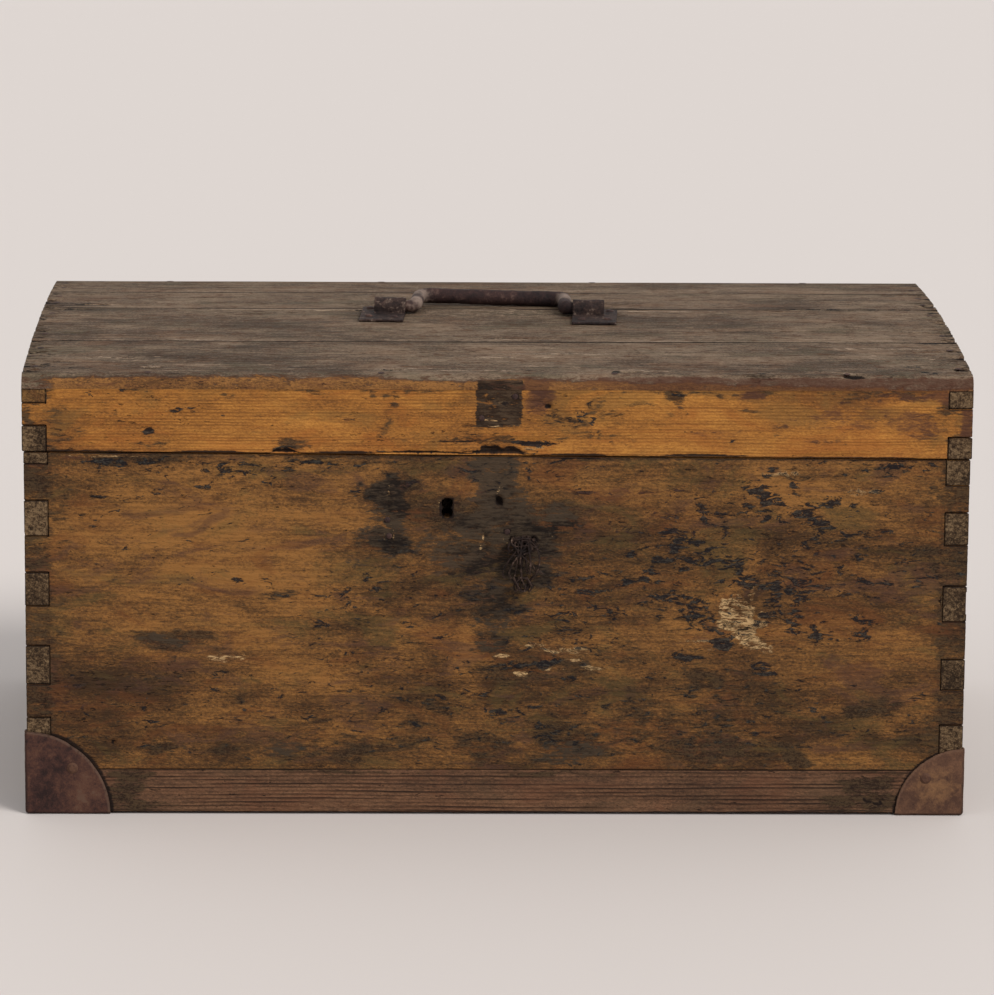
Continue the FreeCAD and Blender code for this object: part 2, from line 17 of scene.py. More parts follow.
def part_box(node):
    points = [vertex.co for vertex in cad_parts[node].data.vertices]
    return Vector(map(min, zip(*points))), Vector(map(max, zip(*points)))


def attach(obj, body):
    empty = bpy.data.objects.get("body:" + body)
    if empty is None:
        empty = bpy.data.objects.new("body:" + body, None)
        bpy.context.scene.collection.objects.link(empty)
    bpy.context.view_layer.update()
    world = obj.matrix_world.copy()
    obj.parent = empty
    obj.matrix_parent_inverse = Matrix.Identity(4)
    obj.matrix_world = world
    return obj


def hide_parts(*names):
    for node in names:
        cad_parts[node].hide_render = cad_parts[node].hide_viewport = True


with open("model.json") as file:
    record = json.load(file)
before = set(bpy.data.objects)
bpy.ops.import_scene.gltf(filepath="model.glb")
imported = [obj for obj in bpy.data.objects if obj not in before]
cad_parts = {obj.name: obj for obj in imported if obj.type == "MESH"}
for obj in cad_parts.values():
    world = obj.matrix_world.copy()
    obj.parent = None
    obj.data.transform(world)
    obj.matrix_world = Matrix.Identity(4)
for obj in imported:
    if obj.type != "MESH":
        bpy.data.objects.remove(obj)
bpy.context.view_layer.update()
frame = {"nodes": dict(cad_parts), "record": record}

MM = 0.001
X, Y, Z = 0, 1, 2
scene = bpy.context.scene
nodes = frame["nodes"]
body_of_node = {
    node: body for body, members in frame["record"]["behaviour"]["bodies"].items() for node in members
}

# %% [markdown]
# ## Camera
# The photograph was taken from a few metres away with a long lens, looking down by about twelve degrees, so
# the front stays almost square and the lid is seen as a narrow band. A camera could be placed by eye, but
# the size of the front in the picture fixes its distance once the lens is chosen, so it is set from named
# sizes. The camera stood a little left of the middle. A small turn and a small shift bring the chest back
# to centre.

# %% Camera at the photograph's angle
front_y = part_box("front_board")[0].y
camera_distance = 3.6203
camera_height = 1.0155
camera_aside = -0.0876
look_down = math.radians(12.044)
turn_right = math.radians(0.635)
roll = math.radians(-0.29)
sensor_width = 36.0
photo_width = 994
focal_pixels = 5000

camera_data = bpy.data.cameras.new("camera")
camera_data.sensor_width = sensor_width
camera_data.lens = focal_pixels / photo_width * sensor_width
camera_data.shift_x = 0.059
camera_data.clip_end = 60
camera = bpy.data.objects.new("camera", camera_data)
scene.collection.objects.link(camera)
camera.location = (camera_aside, front_y - camera_distance, camera_height)
camera.rotation_euler = (math.pi / 2 - look_down, roll, -turn_right)
scene.camera = camera
print("lens", round(camera_data.lens, 1), "mm")

# %% [markdown]
# ## Floor and light
# The studio is a pale floor under soft light. The strongest light comes from the right and a little in
# front, high up, which leaves the left end of the chest in a weak shadow. An area lamp near the chest would
# light the near floor more than the far floor. A sun gives the same light everywhere, and a wide sun gives
# soft shadows, so the key is a sun twenty-five degrees wide and an even pale surrounding fills the rest.

# %% Floor
floor_half = 9.0
bm = bmesh.new()
bmesh.ops.create_grid(bm, x_segments=1, y_segments=1, size=floor_half)
floor_mesh = bpy.data.meshes.new("floor")
bm.to_mesh(floor_mesh)
bm.free()
floor = bpy.data.objects.new("floor", floor_mesh)
scene.collection.objects.link(floor)

floor_paint = bpy.data.materials.new("pale_floor")
floor_paint.use_nodes = True
floor_shader = floor_paint.node_tree.nodes["Principled BSDF"]
floor_shader.inputs["Base Color"].default_value = (0.655, 0.61, 0.59, 1)
floor_shader.inputs["Roughness"].default_value = 0.7
floor_mesh.materials.append(floor_paint)

# %% Sun and the room's own light
sun_way = Vector((0.56, -0.50, 0.66))
sun_light = bpy.data.lights.new("key_sun", "SUN")
sun_light.energy = 2.1
sun_light.angle = math.radians(25)
sun_light.color = (1.0, 0.97, 0.93)
sun = bpy.data.objects.new("key_sun", sun_light)
scene.collection.objects.link(sun)
sun.location = sun_way * 4
sun.rotation_euler = (-sun_way).to_track_quat("-Z", "Y").to_euler()
room = bpy.data.worlds.new("room")
room.use_nodes = True
room.node_tree.nodes["Background"].inputs["Color"].default_value = (1.0, 0.985, 0.975, 1)
room.node_tree.nodes["Background"].inputs["Strength"].default_value = 0.68
scene.world = room
scene.view_settings.view_transform = "Standard"
scene.view_settings.look = "None"
print("sun", round(math.degrees(math.asin(sun_way.normalized().z))), "degrees up")

# %% [markdown]
# ## A shorthand for finishes
# A finish is a small tree of nodes. Wired by hand in the editor it is quick to try, but long to write down,
# so each kind of node gets a short method that adds it and returns its output. The pine finishes read three
# attributes that the boards carry: where each point lies in the grain, what stains it has, and how worn it
# is. The planks of the top carry one more, for the varnish that is left on them.

# %% The finish builder
def tone(red, green, blue):
    """A colour named by its three screen values from 0 to 255, as the linear colour that a shader takes."""
    linear = []
    for value in (red, green, blue):
        share = value / 255
        linear.append(share / 12.92 if share <= 0.04045 else ((share + 0.055) / 1.055) ** 2.4)
    return (*linear, 1.0)


class Finish:
    """A material being mixed: each method adds one node and returns its output."""

    def __init__(self, name):
        self.material = bpy.data.materials.new(name)
        self.material.use_nodes = True
        self.tree = self.material.node_tree
        self.shader = self.tree.nodes["Principled BSDF"]
        self.object_place = self.add("ShaderNodeTexCoord").outputs["Object"]

    def add(self, kind, **settings):
        node = self.tree.nodes.new(kind)
        for setting, value in settings.items():
            setattr(node, setting, value)
        return node

    def feed(self, socket, value):
        """Puts a link or a plain value into a socket."""
        if isinstance(value, bpy.types.NodeSocket):
            self.tree.links.new(value, socket)
        else:
            socket.default_value = value

    def attribute(self, name):
        return self.add("ShaderNodeAttribute", attribute_name=name)

    def channels(self, name):
        """The red, green, blue and alpha of a colour attribute."""
        source = self.attribute(name)
        parts = self.add("ShaderNodeSeparateColor")
        self.feed(parts.inputs["Color"], source.outputs["Color"])
        return [parts.outputs["Red"], parts.outputs["Green"], parts.outputs["Blue"], source.outputs["Alpha"]]

    def stretched(self, place, scale, shift=(0, 0, 0)):
        mapping = self.add("ShaderNodeMapping")
        self.feed(mapping.inputs["Vector"], place)
        mapping.inputs["Scale"].default_value = scale
        mapping.inputs["Location"].default_value = shift
        return mapping.outputs["Vector"]

    def clouds(self, place, scale, detail=3.0, roughness=0.55, twist=0.0, shift=(0, 0, 0)):
        """Noise from 0 to 1 at so many waves per metre along each axis."""
        texture = self.add("ShaderNodeTexNoise")
        self.feed(texture.inputs["Vector"], self.stretched(place, scale, shift))
        texture.inputs["Scale"].default_value = 1.0
        texture.inputs["Detail"].default_value = detail
        texture.inputs["Roughness"].default_value = roughness
        texture.inputs["Distortion"].default_value = twist
        return texture.outputs["Fac"]

    def maths(self, operation, first, second=0.0, third=0.0):
        node = self.add("ShaderNodeMath", operation=operation)
        for socket, value in zip(node.inputs, (first, second, third)):
            self.feed(socket, value)
        return node.outputs[0]

    def plus(self, first, *others):
        """The sum of two or more values."""
        for other in others:
            first = self.maths("ADD", first, other)
        return first

    def times(self, first, second):
        return self.maths("MULTIPLY", first, second)

    def scaled(self, value, factor, extra):
        """A value times a factor, and then something added."""
        return self.maths("MULTIPLY_ADD", value, factor, extra)

    def between(self, value, low, high, start=0.0, end=1.0):
        """Brings values from low to high softly to the range from start to end, and holds them outside it."""
        node = self.add("ShaderNodeMapRange", interpolation_type="SMOOTHSTEP")
        for name, amount in (
            ("Value", value), ("From Min", low), ("From Max", high), ("To Min", start), ("To Max", end)
        ):
            self.feed(node.inputs[name], amount)
        return node.outputs["Result"]

    def mixed(self, share, first, second):
        node = self.add("ShaderNodeMix", data_type="RGBA", clamp_result=True)
        self.feed(node.inputs["Factor"], share)
        self.feed(node.inputs[6], first)
        self.feed(node.inputs[7], second)
        return node.outputs[2]

    def ramp(self, value, *stops):
        node = self.add("ShaderNodeValToRGB")
        while len(node.color_ramp.elements) < len(stops):
            node.color_ramp.elements.new(0.5)
        for element, (place, colour) in zip(node.color_ramp.elements, stops):
            element.position = place
            element.color = colour
        self.feed(node.inputs["Fac"], value)
        return node.outputs["Color"]

    def relief(self, height, depth):
        """Bump of a given depth in metres."""
        bump = self.add("ShaderNodeBump")
        bump.inputs["Strength"].default_value = 1.0
        bump.inputs["Distance"].default_value = depth
        self.feed(bump.inputs["Height"], height)
        self.tree.links.new(bump.outputs["Normal"], self.shader.inputs["Normal"])

    def done(self, colour, roughness):
        self.feed(self.shader.inputs["Base Color"], colour)
        self.feed(self.shader.inputs["Roughness"], roughness)
        return self.material


# %% [markdown]
# ## Pine
# Pine has pale early wood and thin dark late wood, a ring each year, so a board sawn along the log shows
# parallel lines that wander and swell. A picture of wood would repeat and stretch at the edges. Here the
# rings are worked out in the solid wood, from how deep a point lies across the rings, so that the lines run
# along the faces, turn over the edges and show as end grain on the dovetails.

# %% Rings of pine
def rings(finish, grain, pitch, wander):
    """Late-wood lines from 0 to 1: thin, dark on one side, each a ring pitch from the next."""
    parts = finish.add("ShaderNodeSeparateXYZ")
    finish.feed(parts.inputs["Vector"], grain)
    across = finish.scaled(parts.outputs["Z"], 0.45, parts.outputs["Y"])
    slow = finish.clouds(grain, (2.2, 9.0, 9.0), detail=1.5)
    quick = finish.clouds(grain, (9.0, 90.0, 90.0), detail=3.0)
    bent = finish.scaled(slow, wander, across)
    bent = finish.scaled(quick, pitch * 1.1, bent)
    phase = finish.maths("FRACT", finish.times(bent, 1 / pitch))
    rise = finish.between(phase, 0.25, 0.82)
    fall = finish.between(phase, 0.90, 1.0, 1.0, 0.0)
    return finish.times(rise, fall)


# %% [markdown]
# ## A pine finish in the making
# All the boards come from the same wood, but the front kept its honey varnish, the top went grey and the
# inside stayed pale. The effects are the same on each: blotches, flecks, stains. A finish therefore starts
# by gathering what they share, which is the grain, the painted stains and five noises from broad to fine,
# and then lays one effect after another over the colour so far.

# %% What every pine finish starts from
black_wood = tone(30, 23, 21)


class PineFinish(Finish):
    """A pine finish being mixed: its board's grain, stains and wear, its noises, and its colour so far."""

    def __init__(self, name, own_grain):
        super().__init__(name)
        self.grain = self.object_place
        self.grime, self.tar, self.bare, self.ghost = 0.0, 0.0, 0.0, 0.0
        self.shade, self.edge, self.end, self.rust = 0.5, 0.0, 0.0, 0.0
        if own_grain:
            self.grain = self.attribute("grain").outputs["Vector"]
            self.grime, self.tar, self.bare, self.ghost = self.channels("marks")
            self.shade, self.edge, self.end, self.rust = self.channels("state")
        self.patch = self.clouds(self.grain, (10.0, 26.0, 26.0), detail=6.0, roughness=0.68, twist=0.6)
        self.streak = self.clouds(self.grain, (16.0, 120.0, 120.0), detail=5.0, roughness=0.68)
        self.dash = self.clouds(self.grain, (110.0, 430.0, 430.0), detail=4.0, roughness=0.72, twist=0.4)
        self.chip = self.clouds(self.grain, (75.0, 190.0, 190.0), detail=6.0, roughness=0.74, twist=0.9)
        self.grit = self.clouds(self.grain, (500.0, 950.0, 950.0), detail=3.0, roughness=0.75)
        self.frayed = self.swings((self.chip, 1.0), (self.dash, 0.9), (self.streak, 0.8))
        self.flaky = self.swings((self.chip, 1.6), (self.dash, 0.45), (self.streak, 0.5))
        self.colour = black_wood

    def around(self, noise, amount):
        """Noise as a value around zero, stretched by an amount."""
        return self.scaled(noise, amount, -0.5 * amount)

    def swings(self, *noises):
        """The sum of some noises, each around zero and stretched by its amount."""
        return self.plus(*[self.around(noise, amount) for noise, amount in noises])

    def cover(self, share, colour):
        """Lays a colour over the colour so far."""
        self.colour = self.mixed(share, self.colour, colour)

    def torn(self, mark, core, low, high, amount, tear):
        """Breaks a painted mark up with noise along the grain. The core says how full its middle is."""
        share = self.between(self.scaled(tear, amount, self.times(mark, core)), low, high)
        return self.times(share, self.between(mark, 0.01, 0.12))


# %% [markdown]
# ## Sound wood and its varnish
# The colour begins as one value, the sum of the broad and fine noises, read off a ramp from dark to light.
# Old pine is never one hue, so it drifts to rusty, to dull olive and here and there to plum. The late-wood
# lines come over that. On the edge of the top a rest of varnish follows, torn at its border, with a dark
# crust along the tear.

# %% Wood, rings and varnish
varnish_crust = tone(72, 44, 32)


def lay_wood(finish, value, light, middle, dark, rusty, dull, plum):
    """The ramp of the wood's own tones, and the drift of its hue."""
    finish.colour = finish.ramp(value, (0.16, dark), (0.47, middle), (0.82, light))
    hue = finish.clouds(
        finish.grain, (13.0, 32.0, 32.0), detail=6.0, roughness=0.66, twist=0.8, shift=(4.1, 2.3, 7.7)
    )
    finish.cover(finish.between(hue, 0.51, 0.66, 0.0, 0.48), rusty)
    finish.cover(finish.between(hue, 0.48, 0.36, 0.0, 0.45), dull)
    if plum:
        bruise = finish.clouds(
            finish.grain, (15.0, 40.0, 40.0), detail=6.0, roughness=0.64, twist=0.9, shift=(9.2, 1.7, 3.3)
        )
        finish.cover(finish.between(bruise, 0.53, 0.64, 0.0, 0.55), plum)


def lay_rings(finish, late, line_share, line):
    """The late-wood lines, which fade here and there."""
    fade = finish.between(finish.clouds(finish.grain, (8.0, 240.0, 240.0), detail=4.0), 0.36, 0.62, 0.0, 1.0)
    finish.cover(finish.times(finish.times(late, line_share), fade), line)


def lay_varnish(finish, value, honey_light, honey_dark):
    """A rest of honey varnish where the coat attribute keeps it."""
    kept = finish.plus(finish.channels("coat")[0], finish.swings((finish.chip, 2.4), (finish.dash, 1.6)))
    finish.cover(
        finish.between(kept, 0.30, 0.70), finish.ramp(value, (0.25, honey_dark), (0.70, honey_light))
    )
    crust = finish.times(finish.between(kept, 0.02, 0.30), finish.between(kept, 0.9, 0.5))
    finish.cover(finish.times(crust, 0.62), varnish_crust)


# %% [markdown]
# ## Flecks, pinholes and rubbed spots
# Years of handling leave short black dashes along the grain, tiny holes, and spots rubbed back to pale
# wood. They are too many to list, so each comes from a noise that is cut at a height: only its peaks show.

# %% Small wear
def lay_flecks(finish, light, line, fleck_cut, fleck_share, chafe_share):
    """Black dashes, pinholes and rubbed spots. Returns how strongly each point lies in a dash."""
    gate = finish.swings((finish.patch, -0.45), (finish.chip, -0.35))
    fleck = finish.between(finish.plus(finish.dash, gate), fleck_cut, fleck_cut + 0.035, 0.0, fleck_share)
    finish.cover(fleck, finish.mixed(finish.between(finish.grit, 0.4, 0.6), black_wood, line))
    holes = finish.plus(finish.chip, finish.around(finish.grit, 0.4))
    finish.cover(finish.between(holes, 0.70, 0.74, 0.0, fleck_share), black_wood)
    rubbed = finish.plus(finish.chip, finish.around(finish.dash, 0.6))
    finish.cover(finish.between(rubbed, 0.33, 0.27, 0.0, chafe_share), light)
    return fleck


# %% [markdown]
# ## Stains
# The stains are painted on the boards as attributes with soft edges, and the finish tears those edges along
# the grain, because a real stain creeps along the fibres. Each kind has its own two tones, mixed by a
# noise. Grime and the shadows of lost plates fray softly. Bare scars and black crust break off in flakes,
# so they are torn by a coarser noise and have a sharper border.

# %% Stains, bare wood, crust and rust
crust_dark = tone(29, 27, 30)
crust_light = tone(62, 59, 54)
grime_dark = tone(40, 30, 25)
grime_olive = tone(70, 56, 41)
ghost_dark = tone(29, 24, 22)
ghost_light = tone(68, 57, 46)
scar_pale = tone(196, 162, 116)
scar_brown = tone(110, 78, 50)
rust_brown = tone(84, 54, 42)


def lay_grime(finish):
    """Brown grime and the darker shadows of lost plates. Returns how much grime there is."""
    share = finish.times(finish.torn(finish.grime, 0.86, 0.26, 0.80, 1.9, finish.frayed), 0.90)
    blend = finish.plus(finish.chip, finish.around(finish.grit, 0.9))
    finish.cover(share, finish.mixed(finish.between(blend, 0.42, 0.58), grime_dark, grime_olive))
    ghost_share = finish.times(finish.torn(finish.ghost, 0.90, 0.34, 0.66, 1.7, finish.frayed), 0.94)
    blend = finish.plus(finish.dash, finish.around(finish.patch, 1.2))
    finish.cover(ghost_share, finish.mixed(finish.between(blend, 0.36, 0.62), ghost_dark, ghost_light))
    return share


def lay_scars(finish, line, raw):
    """Bare wood with dark torn fibres. Returns how much of it there is, and where its fibres are."""
    share = finish.times(finish.torn(finish.bare, 0.95, 0.34, 0.56, 1.3, finish.flaky), 0.92)
    blend = finish.plus(finish.patch, finish.around(finish.dash, 1.4))
    fibre = finish.between(finish.maths("ABSOLUTE", finish.around(finish.chip, 1.0)), 0.006, 0.022, 0.8, 0.0)
    finish.cover(share, finish.mixed(fibre, finish.mixed(finish.between(blend, 0.36, 0.58), *raw), line))
    return share, fibre


def lay_crust(finish):
    """Flakes of black crust, and rust that has run into the wood. Returns how much crust there is."""
    share = finish.torn(finish.tar, 0.70, 0.54, 0.61, 2.5, finish.flaky)
    blend = finish.plus(finish.dash, finish.around(finish.grit, 0.9))
    finish.cover(
        finish.times(share, 0.95), finish.mixed(finish.between(blend, 0.48, 0.66), crust_dark, crust_light)
    )
    rust_share = finish.times(finish.torn(finish.rust, 0.9, 0.3, 0.7, 1.2, finish.frayed), 0.75)
    finish.cover(rust_share, rust_brown)
    return share


# %% [markdown]
# ## End grain and edges
# Where the fibres come out at the end of a board they drink dirt, so the tails of the dovetails are dark
# and speckled. Edges turn black where hands and floors have rubbed dirt in, and the same black is painted
# as shade into the seam under the lid, into the deepest hollows and against the arcs of the corner caps.
# Both are masks that the board maker writes, so this step only gives them their tones.

# %% Ends and edges
end_dark = tone(36, 28, 21)
end_middle = tone(76, 60, 44)
end_light = tone(122, 101, 76)
end_line = tone(44, 32, 24)


def lay_ends(finish, late):
    """Speckled end grain with the rings still in it, and black edges: dirt worn in, and painted shade in the
    seam and the deepest hollows.
    """
    value = finish.plus(finish.patch, finish.around(finish.dash, 1.5), finish.around(finish.grit, 0.9))
    end_colour = finish.ramp(value, (0.30, end_dark), (0.50, end_middle), (0.70, end_light))
    end_colour = finish.mixed(finish.times(late, 0.35), end_colour, end_line)
    finish.cover(finish.times(finish.end, 0.92), end_colour)
    wear_and_painted_light = finish.plus(finish.edge, finish.around(finish.chip, 1.3))
    finish.cover(finish.between(wear_and_painted_light, 0.30, 0.70, 0.0, 0.95), black_wood)


# %% The whole pine finish
def pine(name, light, middle, dark, line, rusty, dull, pitch=0.0034, wander=0.030, line_share=0.55,
         fleck_share=0.9, fleck_cut=0.70, chafe_share=0.3, blotch=1.0, fine=1.0, gloss=0.52, depth=0.0005,
         own_grain=True, honey=None, stripe=1.0, sheen=0.07, plum=None, raw=(scar_brown, scar_pale)):
    """Mixes one pine finish: its tones, its ring pitch, and how strong its lines, flecks and blotches are."""
    finish = PineFinish(name, own_grain)
    late = rings(finish, finish.grain, pitch, wander)
    value = finish.plus(
        finish.swings(
            (finish.patch, 1.3 * blotch), (finish.streak, 0.7 * stripe), (finish.dash, 1.4 * fine),
            (finish.grit, 1.9 * fine),
        ),
        finish.shade,
    )
    lay_wood(finish, value, light, middle, dark, rusty, dull, plum)
    lay_rings(finish, late, line_share, line)
    if honey:
        lay_varnish(finish, value, *honey)
    fleck = lay_flecks(finish, light, line, fleck_cut, fleck_share, chafe_share)
    grime_share = lay_grime(finish)
    bare_share, torn_fibre = lay_scars(finish, line, raw)
    tar_share = lay_crust(finish)
    lay_ends(finish, late)
    height = finish.swings((late, 0.35), (finish.dash, 1.2), (finish.grit, 1.1), (finish.chip, 0.8))
    height = finish.scaled(tar_share, 0.35, height)
    height = finish.scaled(finish.times(torn_fibre, bare_share), -1.4, height)
    height = finish.scaled(fleck, -0.6, height)
    finish.relief(height, depth)
    rough = finish.scaled(grime_share, 0.12, finish.between(finish.chip, 0.35, 0.65, gloss, gloss + 0.2))
    finish.shader.inputs["Specular IOR Level"].default_value = sheen
    return finish.done(finish.colour, rough)


# %% [markdown]
# ## The tones of the chest's boards
# The same recipe gives seven finishes. The front is brown and blotched, the lid honey-coloured with close
# rings, the foot reddish with straight lines, the top grey and dry, the sides duller, and the inside bare:
# once for the worn boards, and once for the bottom planks, which carry no grain of their own. A recipe
# names its light, middle and dark wood, the line of its rings, and the rusty and the dull tone that it
# drifts to, in this order.

# %% Seven pine finishes
front_pine = pine(
    "front_pine", tone(148, 103, 56), tone(103, 72, 43), tone(63, 46, 32), tone(48, 34, 24),
    tone(108, 64, 37), tone(90, 76, 46), pitch=0.0042, line_share=0.22, fleck_cut=0.65,
    chafe_share=0.45, depth=0.0007, fine=0.70, blotch=1.35, plum=tone(80, 56, 47),
)
lid_pine = pine(
    "lid_pine", tone(188, 130, 62), tone(158, 105, 50), tone(116, 76, 40), tone(94, 58, 29),
    tone(156, 92, 42), tone(118, 90, 50), pitch=0.0023, wander=0.012, line_share=0.55, fleck_share=0.85,
    fleck_cut=0.65, blotch=0.95, fine=0.6, gloss=0.46, chafe_share=0.25, sheen=0.10,
)
foot_pine = pine(
    "foot_pine", tone(126, 92, 68), tone(99, 72, 54), tone(70, 52, 41), tone(36, 26, 22),
    tone(106, 70, 51), tone(84, 66, 50), pitch=0.0029, wander=0.006, line_share=0.92, fleck_cut=0.67,
    blotch=0.6, fine=0.7, chafe_share=0.2,
)
top_pine = pine(
    "top_pine", tone(146, 125, 104), tone(110, 93, 77), tone(70, 58, 48), tone(50, 38, 32),
    tone(124, 94, 72), tone(90, 82, 64), pitch=0.0072, wander=0.030, line_share=0.34, fleck_cut=0.65,
    blotch=1.25, fine=0.80, gloss=0.68, depth=0.0012, chafe_share=0.35, stripe=0.95, sheen=0.12,
    honey=(tone(160, 112, 62), tone(98, 68, 42)), raw=(tone(122, 98, 78), tone(172, 150, 128)),
)
side_pine = pine(
    "side_pine", tone(126, 90, 50), tone(92, 66, 40), tone(62, 46, 34), tone(48, 34, 25),
    tone(96, 60, 36), tone(80, 62, 42), pitch=0.0044, line_share=0.30, fleck_cut=0.64, chafe_share=0.35,
)
bare_tones = (
    tone(188, 148, 98), tone(158, 120, 76), tone(122, 90, 57), tone(100, 68, 42), tone(150, 104, 62),
    tone(140, 112, 78),
)
bare_looks = {
    "pitch": 0.0040, "line_share": 0.50, "fleck_share": 0.5, "fleck_cut": 0.70, "blotch": 0.6, "fine": 0.6,
    "gloss": 0.7,
}
bare_pine = pine("bare_pine", *bare_tones, **bare_looks)
inside_pine = pine("inside_pine", *bare_tones, own_grain=False, **bare_looks)
print("pine finishes ready")

# %% [markdown]
# ## Boards that can wear
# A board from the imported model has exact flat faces. To wear it, it needs a fine net of small faces.
# Remeshing would soften its joints, and a plain subdivision would make long thin faces. So a merged copy of
# the board is eased along its long edges with a small bevel, and then sliced with parallel planes, close
# together near the rims, so that every outer face becomes small squares while the joints stay where they
# were.

# %% Slicing tools
ease = 0.55 * MM
long_edge = 6 * MM
sharp_turn = math.radians(50)
flat_turn = math.radians(0.4)
weld_gap = 2e-6
hair = 1e-6


def ticks(low, high, pitch, rim_steps=(0.5, 1.1, 1.9, 2.9)):
    """Places between two ends: the rim steps, in millimetres, at both ends and an even pitch between."""
    rims = [step * MM for step in rim_steps]
    rim = rims[-1] if rims else 0
    inner_low = low + rim
    inner_high = high - rim
    count = max(1, round((inner_high - inner_low) / pitch))
    inner = [inner_low + (inner_high - inner_low) * i / count for i in range(count + 1)]
    return sorted([low + r for r in rims[:-1]] + inner + [high - r for r in rims[:-1]])


def slice_faces(bm, axis, places, wanted):
    """Cuts the wanted faces with planes square to an axis, in rising order."""
    normal = Vector((0, 0, 0))
    normal[axis] = 1
    live = [face for face in bm.faces if wanted(face)]
    for place in places:
        crossing = []
        above = []
        for face in live:
            heights = [vert.co[axis] for vert in face.verts]
            if min(heights) < place - hair and max(heights) > place + hair:
                crossing.append(face)
            elif max(heights) > place + hair:
                above.append(face)
        if crossing:
            edges = dict.fromkeys(edge for face in crossing for edge in face.edges)
            verts = dict.fromkeys(vert for face in crossing for vert in face.verts)
            result = bmesh.ops.bisect_plane(
                bm, geom=[*verts, *edges, *crossing], dist=1e-7, plane_co=normal * place, plane_no=normal
            )
            for item in result["geom"]:
                if isinstance(item, bmesh.types.BMFace) and item.is_valid:
                    if max(vert.co[axis] for vert in item.verts) > place + hair:
                        above.append(item)
        live = above


def merged_copy(node, ease_by=ease, ease_below=math.inf):
    """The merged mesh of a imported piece, flat faces whole again and its long sharp edges eased."""
    bm = bmesh.new()
    bm.from_mesh(nodes[node].data)
    bmesh.ops.remove_doubles(bm, verts=bm.verts, dist=weld_gap)
    bmesh.ops.dissolve_limit(bm, angle_limit=flat_turn, verts=bm.verts, edges=bm.edges)
    sharp = [
        edge for edge in bm.edges
        if edge.is_manifold and edge.calc_length() > long_edge and edge.calc_face_angle() > sharp_turn
        and min(vert.co.z for vert in edge.verts) < ease_below
    ]
    if ease_by and sharp:
        bmesh.ops.bevel(
            bm, geom=sharp, offset=ease_by, offset_type="OFFSET", segments=2, profile=0.5,
            affect="EDGES", material=-1, clamp_overlap=False,
        )
    return bm


# %% [markdown]
# ## How wood wears
# Three things shape the surface. The soft early wood sinks between the rings, so the face becomes lightly
# ribbed along the grain. The edges lose wood, most where they were knocked. And single blows, chips and
# splits leave hollows. All three are written as a depth in millimetres, by which a point sinks along its
# own normal. Wear only ever takes wood away, so the pieces keep clear of each other.

# %% Depth helpers
def smooth(value, low, high):
    """0 below low, 1 above high, and a smooth rise between; works on numbers and arrays."""
    t = np.clip((value - low) / (high - low), 0, 1)
    return t * t * (3 - 2 * t)


lattice = np.random.default_rng(11)
shuffled = lattice.permutation(256)
slopes = lattice.normal(size=(256, 3))
slopes /= np.linalg.norm(slopes, axis=1)[:, None]


def noise_at(places, scale, shift=0.0):
    """Soft noise from -1 to 1 at each place: random slopes at a lattice's corners, blended between them."""
    spot = places * np.array(scale) + np.array([shift, shift, -shift])
    cell = np.floor(spot).astype(int)
    inside = spot - cell
    blend = inside ** 3 * (inside * (inside * 6 - 15) + 10)
    total = np.zeros(len(places))
    for corner in np.ndindex(2, 2, 2):
        pick = shuffled[(cell[:, X] + corner[X]) % 256]
        pick = shuffled[(pick + cell[:, Y] + corner[Y]) % 256]
        pick = shuffled[(pick + cell[:, Z] + corner[Z]) % 256]
        height = (slopes[pick] * (inside - corner)).sum(axis=1)
        total += height * np.where(corner, blend, 1 - blend).prod(axis=1)
    return np.clip(total * 1.5, -1, 1)


def rough_at(places, scale, octaves=4, shift=0.0):
    """Noise with finer noise on top, about -1 to 1."""
    total = np.zeros(len(places))
    for octave in range(octaves):
        total += noise_at(places * 2.1 ** octave, scale, shift + 5.3 * octave) * 0.52 ** octave
    return total


def spots(across, up, torn, table, power=2, soften=0.35):
    """How strongly each point lies in one of the marks of a table, from 0 to 1.

    A mark is its middle across and up, half its width and height in millimetres, its turn in degrees and
    its strength. `torn` moves the border in and out, so that no mark is a clean oval. A power above 2 squares
    the mark up, as for the shadow of a lost plate."""
    total = np.zeros(len(across))
    for middle_across, middle_up, half_width, half_height, turn, strength in table:
        a = across / MM - middle_across
        u = up / MM - middle_up
        cos, sin = math.cos(math.radians(turn)), math.sin(math.radians(turn))
        along = np.abs((a * cos + u * sin) / half_width)
        over = np.abs((-a * sin + u * cos) / half_height)
        distance = (along ** power + over ** power) ** (1 / power) + torn
        total = np.maximum(total, strength * smooth(-distance, -1.0 - soften, -1.0 + soften))
    return total


# %% [markdown]
# ## From a net to a board
# The same steps turn every net into a finished board, so one function takes them in order: measure each
# point, sink it by the wear, and store the attributes that the pine finish reads. The grain attribute runs
# along the board whichever way the board lies, and a shift of its own keeps two neighbours from showing the
# same rings. The face towards the inside of the chest never saw varnish or weather, so it gets bare pine.

# %% How each board lies: the axis along it, the axis through it, and the side of it that looks inside
lie_of = {
    "front_board": (X, Y, 1), "front_lower_plank": (X, Y, 1), "back_board_upper": (X, Y, -1),
    "back_board_lower": (X, Y, -1), "left_side_board": (Y, X, 1), "right_side_board": (Y, X, -1),
    "lid_front_board": (X, Y, 1), "lid_back_board": (X, Y, -1), "lid_left_end": (Y, X, 1),
    "lid_right_end": (Y, X, -1), "lid_top_plank_1": (X, Z, -1), "lid_top_plank_2": (X, Z, -1),
    "lid_top_plank_3": (X, Z, -1), "lid_top_plank_4": (X, Z, -1),
}
inside_pitch = 9 * MM
lid_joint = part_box("lid_top_plank_1")[0].z


